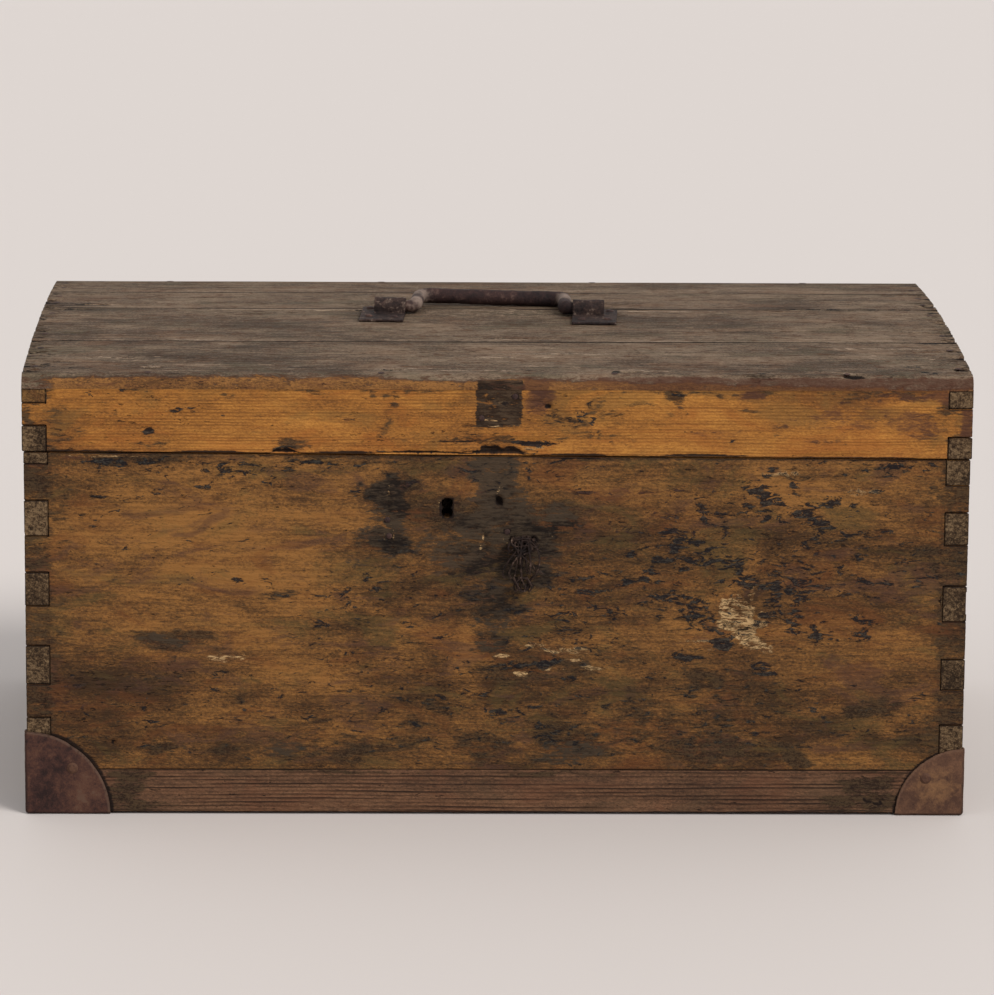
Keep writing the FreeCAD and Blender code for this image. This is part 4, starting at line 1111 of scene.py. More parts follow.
# %% The lid's front board
lid_marks = {
    "plates": [(1.0, 313, 17.4, 18, 0, 1.0)],
    "ghost": [
        (-9, 296, 8, 3, 0, 0.8), (12, 325, 6, 3, 0, 0.7), (30, 319, 10, 9, 0, 0.62),
        (46, 303, 11, 7, 0, 0.5),
    ],
    "grime": [
        (30, 321, 10, 6, 0, 1.0), (-80, 305, 6, 14, 0, 0.72), (47, 302, 13, 9, 0, 0.75),
        (58, 296, 9, 9, 0, 0.7), (-290, 312, 11, 12, 0, 0.35), (-262, 322, 14, 3, 0, 0.8),
        (-205, 321, 8, 3, 0, 0.6), (-150, 322, 18, 3, 0, 0.8), (-96, 321, 10, 4, 0, 0.8),
        (-60, 323, 24, 2, 0, 0.7), (82, 321, 12, 4, 0, 0.6), (130, 318, 6, 7, 0, 0.9),
        (165, 321, 6, 3, 0, 0.9), (133, 305, 10, 9, 0, 0.40), (184, 307, 9, 3, 0, 0.8),
        (266, 313, 10, 2, 0, 0.7), (150, 323, 60, 2, 0, 0.7), (280, 321, 46, 6, 0, 0.65),
        (-153, 284, 12, 6, 0, 0.85), (-12, 286, 26, 5, 0, 0.8), (88, 310, 22, 6, 0, 0.5),
        (100, 300, 16, 5, 0, 0.4), (-320, 300, 12, 16, 0, 0.5), (322, 300, 16, 14, 0, 0.45),
        (230, 300, 14, 6, 0, 0.35), (-20, 290, 8, 4, 0, 0.7), (78, 288, 24, 3, 0, 0.5),
        (190, 285, 20, 4, 0, 0.4), (-330, 284, 14, 9, 0, 0.6), (-255, 284, 16, 4, 0, 0.4),
        (-344, 319, 9, 8, 0, 1.0), (-347, 300, 6, 24, 0, 0.9), (-335, 322, 12, 3, 0, 0.8),
        (210, 296, 12, 3, 0, 0.6), (284, 302, 16, 3, 0, 0.6), (250, 286, 24, 4, 0, 0.5),
        (334, 312, 18, 10, 0, 0.8), (346, 296, 6, 20, 0, 0.8),
    ],
    "tar": [
        (64, 305, 9, 1.8, 55, 0.9), (70, 300, 5, 2, 60, 0.8), (37, 312, 3.0, 2.6, 0, 1.0),
        (-240, 306, 6, 2.2, 12, 1.0), (-228, 306, 3, 2, 0, 0.9), (-257, 294, 5, 3, 20, 1.0),
        (-157, 277, 9, 2.4, 0, 1.0), (-60, 276.5, 30, 1.6, 0, 1.0), (0, 277, 22, 3.2, 0, 1.0),
        (-300, 320, 6, 1.6, 0, 0.8), (-275, 322, 5, 1.6, -20, 0.8), (130, 321, 5, 3, 0, 0.8),
        (-250, 316, 7, 1.4, 0, 0.7), (-200, 304, 4, 1.2, 0, 0.7), (104, 309, 4, 2, 0, 0.7),
        (76, 317, 4, 1.6, 0, 0.8), (20, 284, 14, 1.8, 0, 0.9), (-111, 301, 3, 3, 0, 0.5),
        (266, 314, 5, 1.2, 0, 0.8), (172, 287, 4, 2, 0, 0.7),
    ],
    "bare": [
        (2, 314, 3, 0.9, 4, 0.5), (-236, 306, 11, 3, 0, 0.3), (-10, 301, 9, 0.9, 0, 0.55),
        (-4, 297, 10, 0.9, 0, 0.4), (-158, 281, 8, 0.9, 0, 0.6), (20, 280, 20, 1.0, 0, 0.45),
    ],
    "light": [(-180, 300, 90, 12, 0, 0.05), (0, 290, 300, 6, 0, 0.03)],
    "dark": [
        (280, 322, 60, 7, 0, 0.28), (-320, 296, 20, 20, 0, 0.16), (190, 320, 26, 3, 0, 0.14),
        (330, 300, 10, 20, 0, 0.2),
    ],
    # Near the lower edge the black marks are painted shade in the seam and in the splintered hollows; the
    # rest are black dirt.
    "black": [
        (-56, 276, 31, 2.0, 0, 1.0), (2, 276.5, 21, 3.4, 0, 1.0), (58, 275, 30, 1.2, 0, 0.9),
        (20, 313.5, 17, 0.7, 0, 0.9), (5, 314, 2.6, 1.4, 0, 1.0), (37, 312, 2.6, 2.0, 0, 1.0),
        (-157, 277, 8, 1.8, 0, 1.0), (150, 275, 40, 1.0, 0, 0.8), (-257, 294, 3.4, 2, 0, 0.9),
        (-30, 286, 20, 0.9, 0, 0.8), (-300, 277.8, 36, 1.0, 0, 0.8), (-214, 277.4, 26, 1.3, 0, 0.9),
        (-110, 276.6, 24, 1.1, 0, 0.9), (250, 273.6, 60, 0.9, 0, 0.8), (30, 284, 16, 0.9, 0, 0.8),
    ],
    "rust": [
        (185, 321, 10, 4, 0, 0.7), (-111, 301, 4, 3, 0, 0.6), (290, 317, 30, 6, 0, 0.5),
        (130, 312, 8, 3, 0, 0.3), (31, 318, 13, 12, 0, 0.95), (262, 303, 34, 12, 0, 0.62),
        (306, 299, 22, 12, 0, 0.66), (214, 300, 26, 8, 0, 0.50), (331, 319, 26, 6, 0, 0.8),
        (347, 300, 5, 30, 0, 0.9), (160, 292, 22, 5, 0, 0.45), (236, 286, 30, 5, 0, 0.45),
    ],
    "pits": [
        (-56, 275, 34, 2.4, 0, 2.6), (0, 275.5, 20, 5.0, 0, 3.2), (8, 284, 26, 5, 0, 1.4),
        (37, 312, 2.6, 2.0, 0, 2.4), (12, 316, 22, 0.9, 0, 1.2), (-157, 277, 9, 3, 0, 2.0),
        (-257, 294, 3, 2, 0, 0.8), (-238, 306, 8, 2, 0, 0.7), (64, 305, 9, 1.6, 55, 0.7),
        (-332, 318, 6, 3, 0, 1.0), (140, 276, 20, 1.4, 0, 1.2), (250, 275, 30, 1.2, 0, 1.0),
    ],
}
lid_depth, lid_stain = marked(lid_marks, X, Z, Y, -1, drift=0.08)
worn_board(
    "lid_front_board", net_of("lid_front_board", 1.6 * MM), lid_pine,
    depth=lid_depth, paint=lid_stain, wear=0.6, snug=lid_joint,
)

# %% [markdown]
# ## The sides
# The side boards run front to back, so their ends come out on the front as the tails of the dovetails. End
# grain drinks dirt and turns nearly black. The board maker finds it by itself, from the faces that look
# along the grain. The outer faces are worn like the front, with the grime where hands and floors touched
# them.

# %% The side boards and the lid's ends
kept_tail = (300, 306)
side_grime = [
    (-150, 250, 60, 12, 0, 0.6), (60, 200, 80, 20, 0, 0.5), (0, 40, 190, 26, 0, 0.8),
    (150, 90, 50, 30, 0, 0.6), (-120, 120, 60, 26, 0, 0.4), (10, 268, 190, 6, 0, 0.6),
    (-190, 160, 14, 110, 0, 0.6), (190, 160, 14, 110, 0, 0.6), (-40, 300, 50, 14, 0, 0.5),
    (110, 312, 60, 8, 0, 0.6),
]
side_tar = [
    (-90, 220, 14, 5, 0, 1.0), (-70, 212, 10, 4, 10, 0.9), (40, 240, 12, 3, 0, 0.8),
    (90, 170, 18, 6, -6, 1.0), (110, 160, 10, 5, 0, 0.9), (-20, 130, 14, 4, 0, 0.8),
    (-140, 70, 20, 6, 0, 0.9), (150, 230, 10, 4, 0, 0.8), (0, 90, 12, 4, 0, 0.8),
    (60, 300, 12, 3, 0, 0.8), (-130, 296, 10, 3, 0, 0.8),
]
side_light = [(-60, 180, 70, 30, 0, 0.12), (80, 110, 60, 22, 0, 0.10), (40, 260, 90, 14, 0, 0.08)]
for side, names in ((-1, ("left_side_board", "lid_left_end")), (1, ("right_side_board", "lid_right_end"))):
    side_marks = {"grime": side_grime, "light": side_light, "tar": [(side * m[0], *m[1:]) for m in side_tar]}
    side_marks["pits"] = [(-206, 164, 9, 7, 0, 2.4)] if side > 0 else [(-206, 208, 6, 5, 0, 0.9)]
    side_depth, side_stain = marked(side_marks, Y, Z, X, side, level=-0.03)

    def side_paint(places, normals, marks, state, stain=side_stain, side=side):
        """The marks, and the one tail of the lid that kept its varnish."""
        stain(places, normals, marks, state)
        if side < 0:
            kept = smooth(places[:, Z] / MM, *kept_tail) * smooth(-normals[:, Y], 0.5, 0.9)
            state[:, END] *= 1 - 0.8 * kept
            state[:, SHADE] += 0.16 * kept

    for node in names:
        worn_board(
            node, net_of(node, 2.2 * MM), side_pine, depth=side_depth, paint=side_paint, wear=0.7
        )

# %% [markdown]
# ## The back
# The back isn't in the photograph. Such chests had a plain back of the same boards, darker and less
# handled, so it gets the side finish and a few soft stains and nothing that would claim to be known.

# %% The back boards
back_marks = {
    "grime": [
        (-200, 250, 90, 16, 0, 0.6), (120, 262, 160, 8, 0, 0.7), (0, 30, 320, 22, 0, 0.7),
        (200, 120, 60, 40, 0, 0.4), (-120, 140, 80, 30, 0, 0.35), (0, 310, 240, 8, 0, 0.6),
    ],
    "tar": [
        (-60, 200, 16, 4, 0, 0.8), (140, 180, 12, 5, 0, 0.8), (230, 80, 16, 5, 0, 0.8),
        (-240, 90, 12, 4, 0, 0.8),
    ],
    "light": [(60, 210, 120, 24, 0, 0.10), (-200, 110, 90, 22, 0, 0.08)],
}
back_depth, back_stain = marked(back_marks, X, Z, Y, 1, level=-0.05)
for node in ("back_board_upper", "back_board_lower", "lid_back_board"):
    worn_board(node, net_of(node, 3.4 * MM), side_pine, depth=back_depth, paint=back_stain)

# %% [markdown]
# ## The crowned top
# Four planks make the top, bent over the curved lid ends so that it sheds water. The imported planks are
# facets, and slicing facets would keep them. A plank is simple enough to make again: a flat section as a
# grid, each point lifted to the curve, the front and back edges rounded by a nosing, and the section pushed
# along.

# %% Curves of the top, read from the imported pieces
top_nodes = ["lid_top_plank_%d" % number for number in (1, 2, 3, 4)]
top_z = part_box("lid_top_plank_2")[1].z
end_top_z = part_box("lid_left_end")[1].z
top_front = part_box(top_nodes[0])[0].y
top_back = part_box(top_nodes[-1])[1].y
crown_rise = end_top_z - lid_joint
crown_half = (top_back - top_front) / 2
crown_middle = (top_back + top_front) / 2
nosing = 8.5 * MM
nosing_steps = (0.0, 0.35, 1.0, 2.0, 3.2, 4.6, 6.2, 8.2)


def crown(y):
    """How far the crown has dropped from its top at a depth."""
    radius = (crown_half ** 2 + crown_rise ** 2) / (2 * crown_rise)
    return radius - math.sqrt(radius ** 2 - (y - crown_middle) ** 2)


def nosing_drop(y):
    """How far the rounded edge has dropped from the crown at a depth."""
    inside = min(y - top_front, top_back - y)
    if inside >= nosing:
        return 0.0
    return nosing - math.sqrt(max(0.0, nosing ** 2 - (nosing - inside) ** 2))


def crowned_plank(node, pitch):
    """The net of one plank of the top: its section as a shaped grid, pushed along its length."""
    low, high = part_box(node)
    across = ticks(low.y, high.y, pitch, nosing_steps)
    bm = bmesh.new()
    bmesh.ops.create_grid(bm, x_segments=len(across) - 1, y_segments=3, size=1)
    for vert in bm.verts:
        step = round((vert.co.x + 1) / 2 * (len(across) - 1))
        rise = (vert.co.y + 1) / 2
        y = across[step]
        under = end_top_z - crown(y)
        over = top_z - crown(y) - nosing_drop(y)
        vert.co = (low.x, y, under + (over - under) * rise)
    section = list(bm.faces)
    pushed = bmesh.ops.extrude_face_region(bm, geom=section, use_keep_orig=True)
    for item in pushed["geom"]:
        if isinstance(item, bmesh.types.BMVert):
            item.co.x = high.x
    bmesh.ops.recalc_face_normals(bm, faces=bm.faces)
    slice_faces(bm, X, ticks(low.x, high.x, pitch), lambda face: abs(face.normal.x) < 0.5)
    return bm


# %% Marks on the whole top; each plank takes those that fall on it
top_marks = {
    "grime": [
        (-347, 0, 6, 220, 0, 0.5), (347, 0, 6, 220, 0, 0.5), (-346, -120, 8, 60, 0, 0.5),
        (-90, 40, 24, 40, 0, 0.6), (90, 34, 24, 36, 0, 0.6), (250, 36, 60, 8, 0, 0.5),
        (120, 20, 120, 6, 0, 0.3), (-170, 20, 60, 7, 0, 0.4), (0, -98, 330, 3, 0, 0.3),
        (198, -206, 10, 7, 0, 0.9), (300, -30, 40, 12, 0, 0.35), (-300, 120, 30, 20, 0, 0.3),
        (-60, -130, 60, 14, 0, 0.3), (-200, -150, 60, 12, 0, 0.3), (260, 90, 60, 12, 0, 0.3),
    ],
    "tar": [
        (-338, -180.5, 5, 5, 0, 1.0), (-256, -187, 5, 3, 0, 1.0), (-76, -192, 6, 3, 0, 0.9),
        (94, -196, 9, 2.5, 0, 0.9), (263, -204, 8, 3, 0, 0.9), (198, -207, 6, 6, 0, 0.7),
        (-150, -186, 12, 2, 0, 0.7), (20, -190, 14, 2, 0, 0.7), (170, -188, 16, 2, 0, 0.6),
        (-300, -190, 14, 2, 0, 0.7), (310, -180, 9, 3, 10, 0.9), (322, -196, 7, 4, 0, 0.9),
        (-110, 30, 16, 3, 0, 0.9), (-334, 32, 15, 3, 4, 0.9), (198, -200, 5, 4, 0, 0.9),
        (-330, 60, 20, 3, 2, 1.0), (-318, 30, 30, 3, 2, 1.0), (270, 40, 46, 4, 0, 1.0),
        (330, -100, 10, 4, 0, 0.8), (-334, -150, 9, 4, 0, 0.9),
    ],
    "bare": [
        (-282, -159, 34, 9, 3, 0.5), (-308, 57, 16, 3, 4, 0.9), (2, 22, 52, 16, 0, 0.5),
        (276, -120, 58, 2.5, 0, 0.7), (-160, 34, 110, 3, 0, 0.75), (120, 30, 80, 2.4, 0, 0.6),
        (-240, -96, 60, 3, 0, 0.5), (40, -140, 60, 3, 0, 0.6), (-2, -151, 15, 3, 0, 0.9),
        (34, -151, 8, 3, 0, 0.8), (-78, -191, 12, 2.0, 0, 1.0), (-16, -194, 28, 2.0, 0, 0.9),
        (12, -197, 14, 1.6, 0, 0.9), (96, -192, 14, 2.0, 0, 1.0), (118, -195, 20, 1.6, 0, 0.8),
        (-52, -187, 16, 1.6, 0, 0.7), (-256, -183, 9, 1.8, 0, 0.8), (-230, -196, 20, 1.4, 0, 0.5),
        (262, -199, 9, 1.8, 0, 0.9), (120, -140, 60, 4, 0, 0.25), (-40, -90, 120, 2, 0, 0.5),
        (200, 70, 60, 6, 0, 0.25), (-120, 36, 30, 2, 0, 0.7), (-200, -175, 60, 4, 0, 0.35),
        (300, -150, 30, 8, 0, 0.35), (60, -180, 70, 4, 0, 0.35), (240, -195, 16, 2, 0, 0.6),
        (160, -40, 26, 6, 0, 0.3), (220, -120, 30, 3, 0, 0.4),
    ],
    "light": [
        (250, 150, 110, 50, 0, 0.06), (-250, -60, 90, 24, 0, -0.05), (-30, 120, 200, 30, 0, 0.05),
    ],
    "black": [
        (272, 40, 50, 1.6, 0, 1.0), (-318, 50, 26, 1.3, 2, 1.0), (-322, 30, 22, 1.3, 2, 1.0),
        (-115, 30, 24, 1.0, 0, 0.9),
    ],
    "rust": [(200, -209, 170, 6, 0, 0.42), (-120, -209, 220, 5, 0, 0.25), (260, -206, 90, 8, 0, 0.4)],
    "pits": [
        (-115, 30, 30, 1.6, 2, 2.2), (-334, 32, 22, 1.3, 2, 2.2), (-308, 55, 20, 1.2, 3, 1.6),
        (270, 40, 50, 1.2, 0, 1.6), (-338, -181, 6, 3, 0, 1.6), (-256, -188, 6, 2.6, 0, 1.8),
        (-76, -192, 8, 2.4, 0, 1.4), (94, -197, 10, 2, 0, 1.4), (263, -204, 9, 3, 0, 2.0),
        (-2, -155, 13, 1.4, 0, 0.9), (34, -154, 6, 1.4, 0, 0.8), (-282, -159, 30, 8, 3, 0.4),
        (346, -150, 8, 5, -30, 2.2), (346, -90, 8, 4, 30, 2.0), (347, -20, 7, 4, -20, 2.2),
        (346, 60, 7, 5, 30, 2.0), (-346, -140, 9, 3, 25, 2.2), (-347, -60, 8, 3, -20, 2.0),
        (-346, 80, 8, 5, 30, 2.4), (344, -186, 7, 5, 20, 2.4), (-344, -196, 8, 4, 10, 2.0),
        (330, -60, 16, 1.2, -8, 1.2), (-328, -70, 18, 1.0, 6, 1.1), (322, 20, 18, 1.2, 5, 1.2),
        (-326, 110, 20, 1.1, -5, 1.2), (328, -130, 16, 1.2, 7, 1.2), (330, 120, 16, 1.2, -6, 1.3),
    ],
}

# %% The four planks
top_depth, top_stain = marked(top_marks, X, Y, Z, 1, drift=0.12)


def drying(places):
    """Long thin noise along the grain, whose peaks are the drying cracks."""
    return rough_at(places, (4.5, 190, 20), 3, 5.5)


def top_wear(places, normals):
    """The marks, long drying cracks along the grain, and frayed plank ends."""
    sink = top_depth(places, normals)
    sink += 0.9 * smooth(drying(places), 0.62, 0.95) * smooth(normals[:, Z], 0.4, 0.8)
    near_end = smooth(np.abs(places[:, X]) / MM, 325, 350)
    fray = rough_at(places, (60, 330, 60), 3, 8.1)
    return sink + near_end * 1.1 * smooth(fray, 0.15, 0.7)


joint_places = [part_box(node)[1].y for node in top_nodes[:-1]]


def top_paint(places, normals, marks, state):
    """The marks, cracks and dark joints, and the redder front edge with the end of a lost plate's shadow."""
    top_stain(places, normals, marks, state)
    front = smooth(-normals[:, Y], 0.25, 0.8)
    to_right = smooth(places[:, X] / MM, 0, 140)
    raise_to(state, RUST, (0.42 + 0.40 * to_right) * front)
    state[:, SHADE] += 0.06 * front
    raise_to(state, EDGE, 0.7 * smooth(drying(places), 0.68, 0.95))
    for joint in joint_places:
        away = np.abs(places[:, Y] - joint) / MM
        raise_to(state, EDGE, 0.9 * smooth(-away, -2.2, -0.6))
    behind = (places[:, Y] - joint_places[0]) / MM - 2.6
    chafed = np.exp(-(behind / 1.3) ** 2) * (0.72 + 0.3 * rough_at(places, (20,) * 3, 3, 2.9))
    raise_to(marks, BARE, chafed)
    x = places[:, X] / MM
    low_edge = front * smooth(-places[:, Z] / MM, -332.5, -330.5)
    raise_to(marks, GHOST, low_edge * smooth(x, -17, -14.5) * smooth(-x, -21, -18.5))
    raise_to(state, RUST, 0.9 * low_edge * smooth(x, 17, 20) * smooth(-x, -40, -36))
    near_end = smooth(np.abs(places[:, X]) / MM, 330, 351)
    fray = rough_at(places, (50, 260, 60), 3, 8.1)
    raise_to(state, EDGE, near_end * smooth(fray, 0.1, 0.7))


def honey_edge(places):
    """The varnish of the front reaches over the edge of the top: further on the left than on the right."""
    x = places[:, X] / MM
    limit = 333.5 - 3.0 * smooth(x, -300, 60) - 6.0 * smooth(x, 60, 330)
    limit = limit + 2.2 * rough_at(places, (22, 22, 22), 4, 6.6)
    share = smooth(-places[:, Z] / MM, -limit - 2.2, -limit + 2.2) * smooth(-places[:, Y] / MM, 190, 203)
    return share * smooth(x, -343, -322)


for node in top_nodes:
    fine = 2.0 * MM if node == top_nodes[0] else 2.6 * MM
    worn_board(
        node, crowned_plank(node, fine), top_pine,
        depth=top_wear, paint=top_paint, coat=honey_edge, rim_dirt_and_shade=0.0, snug=lid_joint,
    )

# %% [markdown]
# ## Iron
# The irons are old forged and sheet iron, brown with rust: no shine, a grain like coarse leather, darker in
# the hollows and paler where it flakes. A metal shader would reflect the room, which rust does not do, so
# the finish is an ordinary rough surface. The relief does most of the work, at two sizes. A recipe names
# its dark, middle and light rust and the tone of its flakes, in this order. The caps and the bail also
# carry a state: how light a point is, how near it is to a cut rim, how worn it is and how dirty. On the
# bail the worn share also carries a painted highlight on the knees, and the dirty share painted shade on
# its underside; the pale cut rims of the caps are partly a painted highlight too.

# %% The iron finish
RIM, WEAR_AND_HIGHLIGHT, DIRT_AND_SHADE = 1, 2, 3


def iron(name, dark, middle, light, flake, scale=1.0, depth=0.0005, with_state=False, gloss=0.55,
         wear_and_highlight_tone=None, flake_cut=0.56, pit_share=0.7):
    """Mixes one iron: its tones, where it flakes, how dark its pits are, and how pale its wear and painted
    highlights are.
    """
    finish = Finish(name)
    place = finish.object_place
    broad = finish.clouds(place, (28 * scale,) * 3, detail=5.0, roughness=0.6, twist=0.4)
    close = finish.clouds(place, (150 * scale,) * 3, detail=6.0, roughness=0.72, twist=0.3)
    grit = finish.clouds(place, (900.0,) * 3, detail=3.0, roughness=0.7)

    def where(value, amount):
        """A painted value, torn by the close noise, as a share from 0 to 1."""
        return finish.between(finish.scaled(close, amount, finish.plus(value, -amount / 2)), 0.3, 0.7)

    value = finish.scaled(broad, 1.3, finish.scaled(close, 1.5, -0.9))
    value = finish.plus(value, finish.scaled(grit, 0.7, -0.35))
    if with_state:
        shade, rim, wear_and_painted_light, dirt_and_shade = finish.channels("state")
        value = finish.plus(value, finish.maths("SUBTRACT", shade, 0.5))
    colour = finish.ramp(value, (0.22, dark), (0.50, middle), (0.82, light))
    flakes = finish.scaled(close, 0.7, finish.times(broad, 0.3))
    flakes = finish.between(flakes, flake_cut, flake_cut + 0.10)
    colour = finish.mixed(finish.times(flakes, 0.7), colour, flake)
    pits = finish.between(close, 0.36, 0.30, 0.0, 1.0)
    colour = finish.mixed(finish.times(pits, pit_share), colour, tone(30, 22, 22))
    if with_state:
        # Pale rims: polish on the cut edge, and a painted highlight along it.
        colour = finish.mixed(finish.times(where(rim, 0.8), 0.6), colour, flake)
        # The worn share in a pale tone: rubbed rust, and on the bail's knees a painted highlight.
        wear_and_highlight_share = finish.between(finish.scaled(close, 2.2, finish.plus(wear_and_painted_light, -1.1)), 0.1, 1.1)
        colour = finish.mixed(finish.times(wear_and_highlight_share, 0.75), colour, wear_and_highlight_tone or light)
        # The dirty share in a dark tone: dirt, and on the bail's underside painted shade.
        colour = finish.mixed(finish.times(where(dirt_and_shade, 1.2), 0.8), colour, tone(32, 25, 24))
    finish.relief(finish.scaled(grit, 0.35, close), depth)
    finish.shader.inputs["Specular IOR Level"].default_value = 0.14
    return finish.done(colour, finish.between(close, 0.3, 0.7, gloss, gloss + 0.25))


bail_iron = iron(
    "bail_iron", tone(32, 24, 25), tone(50, 36, 35), tone(66, 47, 44), tone(82, 60, 54), depth=0.0008,
    with_state=True, wear_and_highlight_tone=tone(146, 128, 116),
)
forged_iron = iron(
    "wrought_iron", tone(38, 29, 29), tone(60, 44, 41), tone(84, 62, 54), tone(98, 74, 66),
    depth=0.0007,
)
plate_iron = iron(
    "plate_iron", tone(29, 23, 23), tone(48, 37, 35), tone(76, 58, 51), tone(138, 122, 110),
    depth=0.0012, scale=1.7, flake_cut=0.545,
)
wire_iron = iron(
    "wire_iron", tone(24, 18, 17), tone(42, 31, 27), tone(74, 56, 47), tone(150, 128, 112), scale=2.2,
)
left_cap_iron = iron(
    "left_cap_iron", tone(40, 27, 26), tone(64, 42, 37), tone(86, 58, 46), tone(92, 72, 60),
    depth=0.0004, with_state=True, pit_share=0.45,
)
right_cap_iron = iron(
    "right_cap_iron", tone(72, 50, 40), tone(88, 62, 48), tone(106, 76, 58), tone(104, 78, 62),
    depth=0.0005, with_state=True, wear_and_highlight_tone=tone(128, 94, 64), pit_share=0.3,
)
cap_nail_iron = iron(
    "cap_nail_iron", tone(52, 36, 31), tone(78, 54, 43), tone(98, 70, 54), tone(92, 68, 55),
    pit_share=0.3,
)
print("iron finishes ready")

# %% [markdown]
# ## Corner caps
# Each cap is one piece of sheet, cut to a quarter round on three faces and hammered over the corner. Its
# form comes from the imported cap. A net over it takes the dents of the hammer, and an attribute tells the
# finish where the cut rim is, which is painted paler, as polish and as a highlight along the edge, and where
# years of carrying wore the rust down.

# %% The four caps
cap_pitch = 2.0 * MM
worn_middle = 22
worn_spread = 260


def large_enough(least):
    """A test that passes the faces over a least area in square metres."""
    return lambda face: face.calc_area() > least


for side_name, side in (("left", -1), ("right", 1)):
    for end_name, way in (("front", -1), ("back", 1)):
        node = "corner_cap_%s_%s" % (end_name, side_name)
        low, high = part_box(node)
        bm = merged_copy(node, ease_by=0.35 * MM)
        for axis in (X, Y, Z):
            slice_faces(bm, axis, ticks(low[axis], high[axis], cap_pitch), large_enough(2e-6))
        verts, places, normals = points_of(bm)
        corner = np.array([low.x if side < 0 else high.x, low.y if way < 0 else high.y, low.z])
        away = np.abs(places - corner)
        reach = (high.z - low.z) / MM
        on_face = np.sort(away, axis=1)[:, 1:] / MM
        radius = np.sqrt((on_face ** 2).sum(axis=1))
        dents = 0.20 + 0.14 * rough_at(places, (60,) * 3, 3, 2.0 + side)
        dents += 0.10 * noise_at(places, (160,) * 3, 5.0)
        out = smooth((normals * np.array([side, way, -1])).max(axis=1), 0.3, 0.8)
        ragged = smooth(rough_at(places, (70,) * 3, 3, 6.0 + way), 0.1, 0.7)
        ragged *= smooth(radius, reach - 2.5, reach)
        sink_points(verts, normals, (np.clip(dents, 0.02, 0.6) * out + 0.5 * ragged) * MM)
        state = np.zeros((len(places), 4))
        state[:, SHADE] = 0.5 + 0.12 * rough_at(places, (24, 24, 24), 3, 1.0)
        # The cut rim is painted paler: polish, and a painted highlight along the edge.
        state[:, RIM] = smooth(radius, reach - 2.6, reach - 0.8)
        inner = np.exp(-((on_face - worn_middle) ** 2).sum(axis=1) / worn_spread)
        state[:, WEAR_AND_HIGHLIGHT] = (0.75 if side > 0 else 0.30) * inner
        state[:, DIRT_AND_SHADE] = 0.5 * smooth(-on_face[:, 0], -4, -1)
        finish = left_cap_iron if side < 0 else right_cap_iron
        cap = put_in_place(bm, node, "hammered_" + node, [finish])
        store(cap.data, "state", np.clip(state, 0, 1))

# %% [markdown]
# ## Forged bars
# The bail, the staple and the wire were all drawn out as bars. A curve with a round bevel would give a
# perfect pipe. A bar lofted through rings can swell at the knees and vary along its length, so each bar is
# a row of circles along a smooth path, each with its own radius, and neighbouring circles are bridged.

# %% Lofting a bar
def smooth_path(points, steps):
    """Points and radii along a smooth curve through stations given as x, y, z and radius."""
    stations = [Vector(point) for point in points]
    stations = [2 * stations[0] - stations[1], *stations, 2 * stations[-1] - stations[-2]]
    path = []
    for a, b, c, d in zip(stations, stations[1:], stations[2:], stations[3:]):
        for i in range(steps):
            t = i / steps
            bent = (2 * a - 5 * b + 4 * c - d) * t ** 2 + (3 * b - a - 3 * c + d) * t ** 3
            path.append(0.5 * (2 * b + (c - a) * t + bent))
    path.append(stations[-2])
    return path


def loft(bm, path, sides, lumps=0.0, closed=False):
    """Bridges a row of circles along a path of x, y, z and radius. Lumps shrink the radius here and there."""
    rings_made = []
    turn = None
    for i, station in enumerate(path):
        before = path[i - 1] if i else (path[-1] if closed else path[0])
        after = path[(i + 1) % len(path)] if closed else path[min(i + 1, len(path) - 1)]
        way = (after - before).to_3d().normalized()
        if turn is None:
            turn = way.to_track_quat("Z", "Y")
        else:
            turn = (turn @ Vector((0, 0, 1))).rotation_difference(way) @ turn
        place = station.to_3d()
        swell = 1 - lumps * (0.5 + 0.5 * noise.noise(place * 160))
        matrix = Matrix.Translation(place) @ turn.to_matrix().to_4x4()
        ring = bmesh.ops.create_circle(bm, segments=sides, radius=station[3] * swell, matrix=matrix)["verts"]
        rings_made.append(ring)
    following = rings_made[1:] + ([rings_made[0]] if closed else [])
    for first, second in zip(rings_made, following):
        edges = dict.fromkeys(
            edge for ring in (first, second) for vert in ring for edge in vert.link_edges
            if edge.other_vert(vert) in ring
        )
        bmesh.ops.bridge_loops(bm, edges=list(edges))
    if not closed:
        for ring in (rings_made[0], rings_made[-1]):
            bmesh.ops.contextual_create(bm, geom=ring)


def rough_metal(bm, amount, scale, shift):
    """Sinks every point a little, so that the bar has the flats and pits of the hammer."""
    bm.normal_update()
    for vert in bm.verts:
        knock = 0.5 + 0.5 * noise.noise(vert.co * scale + Vector((shift, 0, 0)))
        knock += 0.4 * noise.noise(vert.co * scale * 2.7)
        vert.co -= vert.normal * max(0.0, knock) * amount


def iron_piece(bm, node, name, finish):
    """Turns a bar's faces outwards and puts it in its node's place."""
    bmesh.ops.recalc_face_normals(bm, faces=bm.faces)
    return put_in_place(bm, node, name, [finish], sharp_above=50)


# %% [markdown]
# ## The bail
# The bail is one bar, bent twice and turned at its ends into the plates. The smith left it thickest at the
# knees, and wear has made flats on the grip. It lies back on the lid, and it turns about the line of its
# ends, so its path starts and ends on that line.

